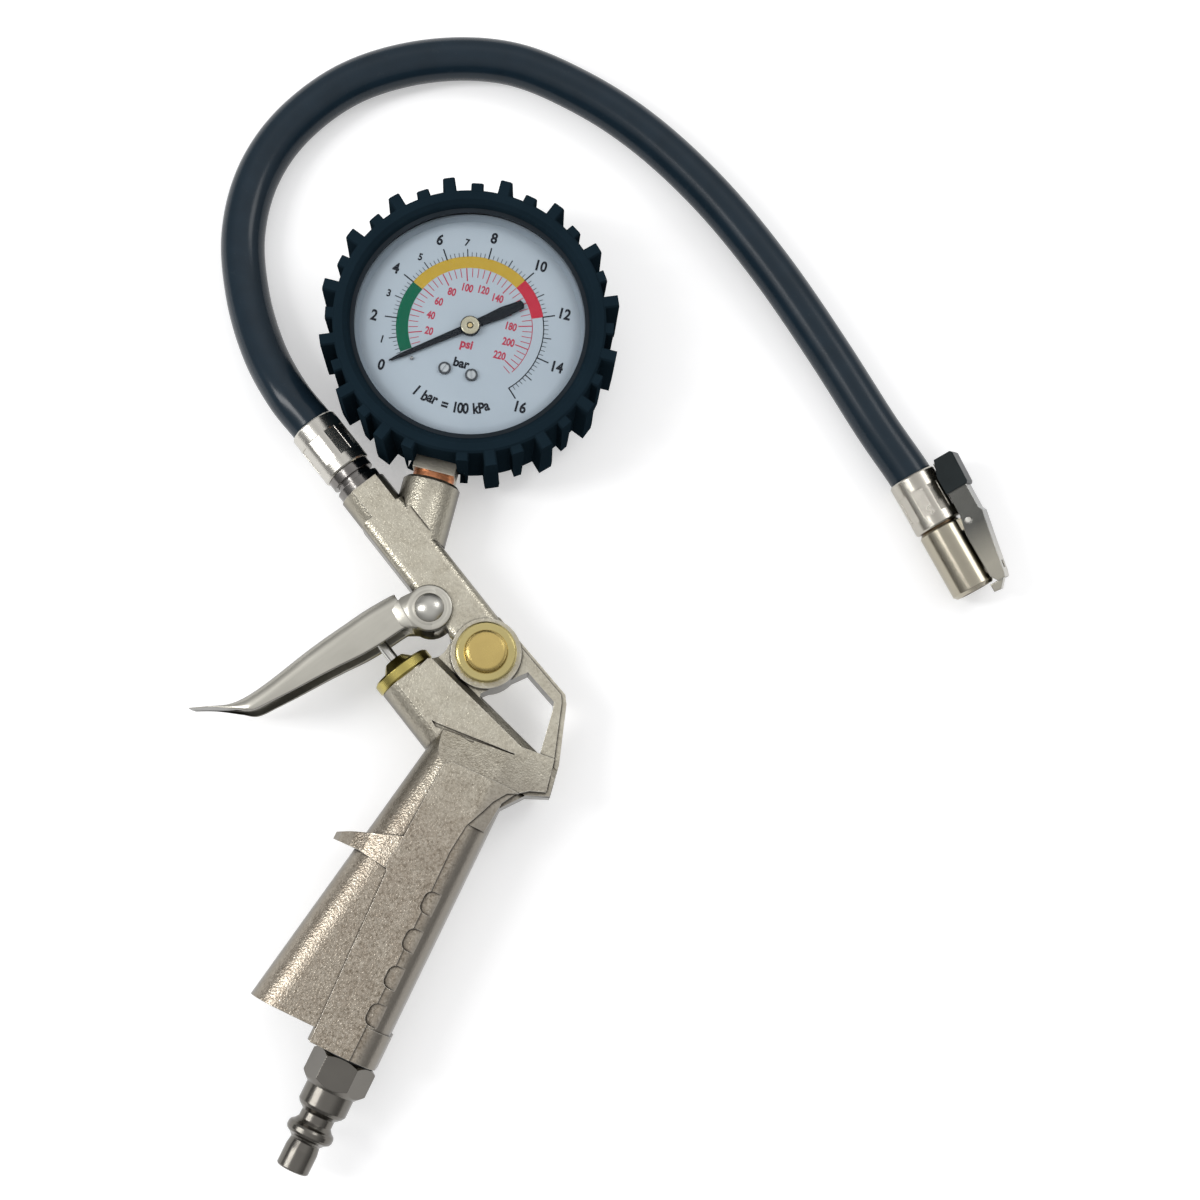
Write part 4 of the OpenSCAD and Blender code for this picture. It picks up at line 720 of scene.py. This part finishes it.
def hose():
    """The hose: a tube along the smooth curve through its route, lying on the surface where it
    comes down to it, and straight and pinched inside both ferrules."""
    free = smooth_line([ferrule_point(14.0), ferrule_point(0.0), *HOSE_ROUTE,
                        chuck_point(0.0), chuck_point(14.0)], 24)
    head = [ferrule_point(a) for a in (8.0, 4.0, 0.6)]
    tail = [chuck_point(a) for a in (0.6, 4.0, 8.0)]
    line = np.vstack([head, free, tail])
    line[:, 2] = np.maximum(line[:, 2], HOSE_R)
    radius = np.full(len(line), HOSE_R)
    radius[:3] = radius[-3:] = PINCHED_R
    points, faces, uv = tube(line, radius, 48)
    piece = make_piece("rubber_hose", points, faces, hose_finish(), "body", "hose_rubber",
                       stands_for=("hose",), uv=uv * [0.01, 1.0])  # along in decimetres


hose()

# ---------------------------------------------------------------------------
# Dial print
# ---------------------------------------------------------------------------

BLACK_INK = print_finish("ink_black", (0.012, 0.015, 0.022))
RED_INK = print_finish("ink_red", (0.44, 0.05, 0.09))
GREEN_INK = print_finish("ink_green", (0.0005, 0.115, 0.06))
YELLOW_INK = print_finish("ink_yellow", (0.50, 0.34, 0.045))
BAND_RED_INK = print_finish("ink_band_red", (0.50, 0.028, 0.055))

EVEN_BARS = np.arange(0, 18, 2)
EVEN_DIRECTIONS = [230.0, 198.8, 166.6, 134.4, 101.6, 68.0, 34.6, 1.0, -32.4]  # degrees
PSI_FIRST, PSI_STEP = 211.5, 23.0  # direction of 20 psi and degrees to each next 20
UPRIGHT = STEM_TURN + math.pi / 2 - 2 * math.pi  # text reads with the stem at the bottom


def bar_direction(value):
    """Direction of a pressure in bar: even steps between the printed even numbers."""
    return np.interp(value, EVEN_BARS, EVEN_DIRECTIONS)


def polar(radius, degrees):
    """Flat place at a radius and a direction."""
    return (radius * math.cos(math.radians(degrees)), radius * math.sin(math.radians(degrees)))


def band(inner, outer, start, end, height=PRINT_Z):
    """Flat ring sector between two radii and two directions, as two rows of points."""
    n = max(3, int(abs(end - start) / 2) + 2)
    t = np.radians(np.linspace(min(start, end), max(start, end), n))
    rows = [np.stack([r * np.cos(t), r * np.sin(t), np.full(n, height)], -1)
            for r in (inner, outer)]
    return np.vstack(rows), grid_faces(2, n)[:, ::-1]


def strokes(directions, inner, outer, width, height=PRINT_Z):
    """Radial ticks: one rectangle of the given width for each direction."""
    t = np.radians(np.atleast_1d(directions).astype(float))
    out = np.stack([np.cos(t), np.sin(t)], -1)
    side = np.stack([-np.sin(t), np.cos(t)], -1) * width / 2
    flat = np.stack([out * inner - side, out * outer - side, out * outer + side,
                     out * inner + side], 1).reshape(-1, 2)
    points = np.hstack([flat, np.full((len(flat), 1), height)])
    return points, np.arange(len(flat)).reshape(-1, 4)


def lettering(text, size, centre, turn, bold, height, squeeze):
    """Filled outlines of a short text, thickened by bold, narrowed by squeeze, centred on a point
    and turned about z."""
    curve = bpy.data.curves.new("lettering", "FONT")
    curve.body, curve.size, curve.offset = text, 1.0, bold
    curve.align_x, curve.align_y = "CENTER", "CENTER"
    curve.resolution_u = 3
    holder = bpy.data.objects.new("lettering", curve)
    bpy.context.scene.collection.objects.link(holder)
    shown = holder.evaluated_get(bpy.context.evaluated_depsgraph_get())
    mesh = bpy.data.meshes.new_from_object(shown)
    points = np.zeros(len(mesh.vertices) * 3)
    mesh.vertices.foreach_get("co", points)
    points = points.reshape(-1, 3) * [size * squeeze, size, 0.0]
    faces = [np.array([tuple(p.vertices)]) for p in mesh.polygons]
    bpy.data.objects.remove(holder)
    bpy.data.curves.remove(curve)
    bpy.data.meshes.remove(mesh)
    points[:, :2] -= (points[:, :2].min(0) + points[:, :2].max(0)) / 2
    c, s = math.cos(turn), math.sin(turn)
    placed = np.stack([points[:, 0] * c - points[:, 1] * s + centre[0],
                       points[:, 0] * s + points[:, 1] * c + centre[1],
                       np.full(len(points), height)], -1)
    return placed, faces


def print_piece(name, parts, ink):
    """One flat layer of print on the dial."""
    make_piece(name, *joined(parts), ink, "body", "dial_face", smooth=False)


def colour_bands():
    """Green, yellow and red ring sectors that end at 4, 10 and 12 bar."""
    ends = [226.5, *bar_direction([4, 10, 12])]
    inks = [("band_green", GREEN_INK), ("band_yellow", YELLOW_INK), ("band_red", BAND_RED_INK)]
    for (name, ink), start, end in zip(inks, ends[:-1], ends[1:]):
        print_piece(name, [band(15.8, 18.9, start, end)], ink)


def bar_scale():
    """Black ticks at every bar and fifth of a bar, the arc past the bands, numbers and words."""
    z = SECOND_PRINT_Z
    even, odd = bar_direction(EVEN_BARS), bar_direction(np.arange(1, 16, 2))
    fifths = np.arange(0, 81)
    small = bar_direction(fifths[fifths % 5 > 0] / 5.0)
    parts = [strokes(even[:7], 18.7, 21.9, 0.34, z), strokes(even[7:], 18.6, 22.0, 0.34, z),
             strokes(odd, 18.8, 20.9, 0.26, z), strokes(small, 18.8, 20.0, 0.15, z),
             band(18.62, 18.88, bar_direction(12), bar_direction(16), z)]
    for values, size, radius in ((EVEN_BARS, 3.9, 24.6), ((1, 3, 5, 7), 2.6, 22.6)):
        parts += [lettering(str(value), size, polar(radius, bar_direction(value)), UPRIGHT,
                            0.034, z, 0.86) for value in values]
    parts.append(lettering("bar", 3.3, polar(9.75, 283.3), UPRIGHT, 0.04, z, 0.92))
    words = "1 bar = 100 kPa"
    for letter, direction in zip(words, np.linspace(257.0, 307.5, len(words))):
        if letter != " ":
            parts.append(lettering(letter, 3.8, polar(21.4, direction),
                                   math.radians(direction - 270.0), 0.036, z, 0.82))
    print_piece("print_black", parts, BLACK_INK)


def psi_scale():
    """Red ticks at every 5 psi, longer at every 20, the arc past the bands and the numbers."""
    tall = PSI_FIRST - PSI_STEP * np.arange(0, 11)
    short = np.concatenate([tall + PSI_STEP / 2, tall - PSI_STEP / 4, tall + PSI_STEP / 4])
    parts = [strokes(tall, 12.3, 15.75, 0.30), strokes(short, 13.3, 15.7, 0.20),
             band(15.75, 15.95, 34.0, -22.0)]
    parts += [lettering(str(20 * (k + 1)), 2.8, polar(10.5, direction), UPRIGHT, 0.036, PRINT_Z,
                        0.74) for k, direction in enumerate(tall)]
    parts.append(lettering("psi", 3.2, polar(4.95, 284.6), UPRIGHT, 0.038, PRINT_Z, 0.92))
    print_piece("print_red", parts, RED_INK)


def stop_pin():
    """Small pin with a chamfered head, which the pointer rests against at zero."""
    base, top = DIAL_Z - 0.3, DIAL_Z + 0.85
    points, faces = turned([(0, base), (0.42, base), (0.42, DIAL_Z + 0.7), (0.3, top),
                            (0, top)], 16)
    points[:, :2] += polar(17.0, 235.5)
    make_piece("stop_pin", points, faces,
               worn_metal("stop_pin_steel", (0.3, 0.3, 0.3), 0.3, 0.05), "body", "screw_steel")


def pointer_boss():
    """Brass boss over the pointer's hub, with a dimple in its middle."""
    points, faces = turned([(0, 26.1), (2.38, 26.1), (2.38, 26.42), (2.2, 26.5), (1.0, 26.5),
                            (0.85, 26.44), (0.8, 26.28), (0, 26.28)], 48)
    make_piece("pointer_boss", points, faces,
               worn_metal("boss_brass", (0.50, 0.48, 0.36), 0.28, 0.1), "pointer", "pointer_black")


colour_bands()
bar_scale()
psi_scale()
stop_pin()
pointer_boss()
trigger()

# ---------------------------------------------------------------------------
# Floor, light and camera
# ---------------------------------------------------------------------------


def floor():
    """Pale plain floor: diffuse, with a glow that only the camera, reflections and glass see."""
    f = Finish("studio_floor")
    cloud = f.noise(2.0, 2.0)
    f.tree.nodes.remove(f.shader)
    camera_ray, glossy_ray, glass_ray = (
        f.node("ShaderNodeLightPath", output=f"Is {kind} Ray")
        for kind in ("Camera", "Glossy", "Transmission"))
    seen = camera_ray.or_more(glossy_ray).or_more(glass_ray)
    diffuse = f.node("ShaderNodeBsdfDiffuse", {},
                     {"Color": f.mix((0.80, 0.80, 0.80), (0.83, 0.83, 0.83), cloud)})
    glow = f.node("ShaderNodeEmission", {}, {"Color": (1.0, 1.0, 1.0), "Strength": seen * 0.36})
    f.fill(f.output.inputs[0], f.node("ShaderNodeAddShader", {}, {0: diffuse, 1: glow}))
    half, level = 4.0, -0.0005
    mesh = bpy.data.meshes.new("studio_floor")
    mesh.from_pydata([(-half, -half, level), (half, -half, level), (half, half, level),
                      (-half, half, level)], [], [(0, 1, 2, 3)])
    mesh.materials.append(f.material)
    plane = bpy.data.objects.new("studio_floor", mesh)
    bpy.context.scene.collection.objects.link(plane)


def lamp(name, place, size, power):
    """Flat rectangular lamp, in metres and watts, aimed at the middle of the tool."""
    data = bpy.data.lights.new(name, "AREA")
    data.shape, data.size, data.size_y = "RECTANGLE", size[0], size[1]
    data.energy = power
    light = bpy.data.objects.new(name, data)
    light.location = place
    aim = Vector((0.03, -0.03, 0.0))
    light.rotation_euler = (aim - Vector(place)).to_track_quat("-Z", "Y").to_euler()
    bpy.context.scene.collection.objects.link(light)


# position on the sky's ramp by the direction's z, and its grey there
SKY_LEVELS = [(0.0, 0.26), (0.25, 0.30), (0.55, 0.46), (0.82, 0.80), (1.0, 0.78)]


def studio():
    """Soft sky, brighter overhead and toward +y, plain white to the camera; two lamps."""
    world = bpy.data.worlds.new("studio")
    bpy.context.scene.world = world
    sky = Graph(world)
    toward = sky.node("ShaderNodeTexCoord", output="Generated")
    grey = sky.node("ShaderNodeValToRGB", {}, {"Fac": sky.axis(toward, "Z")})
    ramp = grey.socket.node.color_ramp
    for position, _ in SKY_LEVELS[1:-1]:
        ramp.elements.new(position)
    for element, (_, value) in zip(ramp.elements, SKY_LEVELS):
        element.color = (value, value, value * 1.01, 1)
    strength = sky.node("ShaderNodeMapRange", {}, {
        "Value": sky.axis(toward, "Y"), "From Min": 0.15, "From Max": 0.75,
        "To Min": 1.0, "To Max": 1.55})
    soft = sky.node("ShaderNodeBackground", {}, {"Color": grey, "Strength": strength})
    white = sky.node("ShaderNodeBackground", {}, {"Color": (1.0, 1.0, 1.0)})
    seen = sky.node("ShaderNodeLightPath", output="Is Camera Ray")
    out = sky.tree.nodes.new("ShaderNodeOutputWorld")
    sky.fill(out.inputs[0], sky.node("ShaderNodeMixShader", {}, {0: seen, 1: soft, 2: white}))
    lamp("key", (-0.44, -0.26, 0.50), (0.16, 0.42), 2.2)
    lamp("fill", (0.42, 0.50, 0.62), (0.30, 0.30), 1.2)


def camera():
    """The viewpoint, 10 degrees off the vertical and rolled: the three vectors are the camera's
    own axes to the right, upward and backward."""
    right = Vector((0.90097936, 0.43071742, 0.05214117))
    up = Vector((-0.43313264, 0.88598032, 0.16563511))
    back = Vector((0.02514588, -0.17181785, 0.98480775))
    data = bpy.data.cameras.new("camera")
    data.lens, data.sensor_width, data.sensor_fit = 57.0, 36.0, "AUTO"
    data.clip_start, data.clip_end = 0.01, 20.0
    view = bpy.data.objects.new("camera", data)
    basis = Matrix((right, up, back)).transposed().to_4x4()
    basis.translation = Vector((0.0721956, -0.1307376, 0.4924039))
    view.matrix_world = basis
    bpy.context.scene.collection.objects.link(view)
    bpy.context.scene.camera = view


floor()
studio()
camera()
bpy.context.scene.view_settings.view_transform = "Standard"
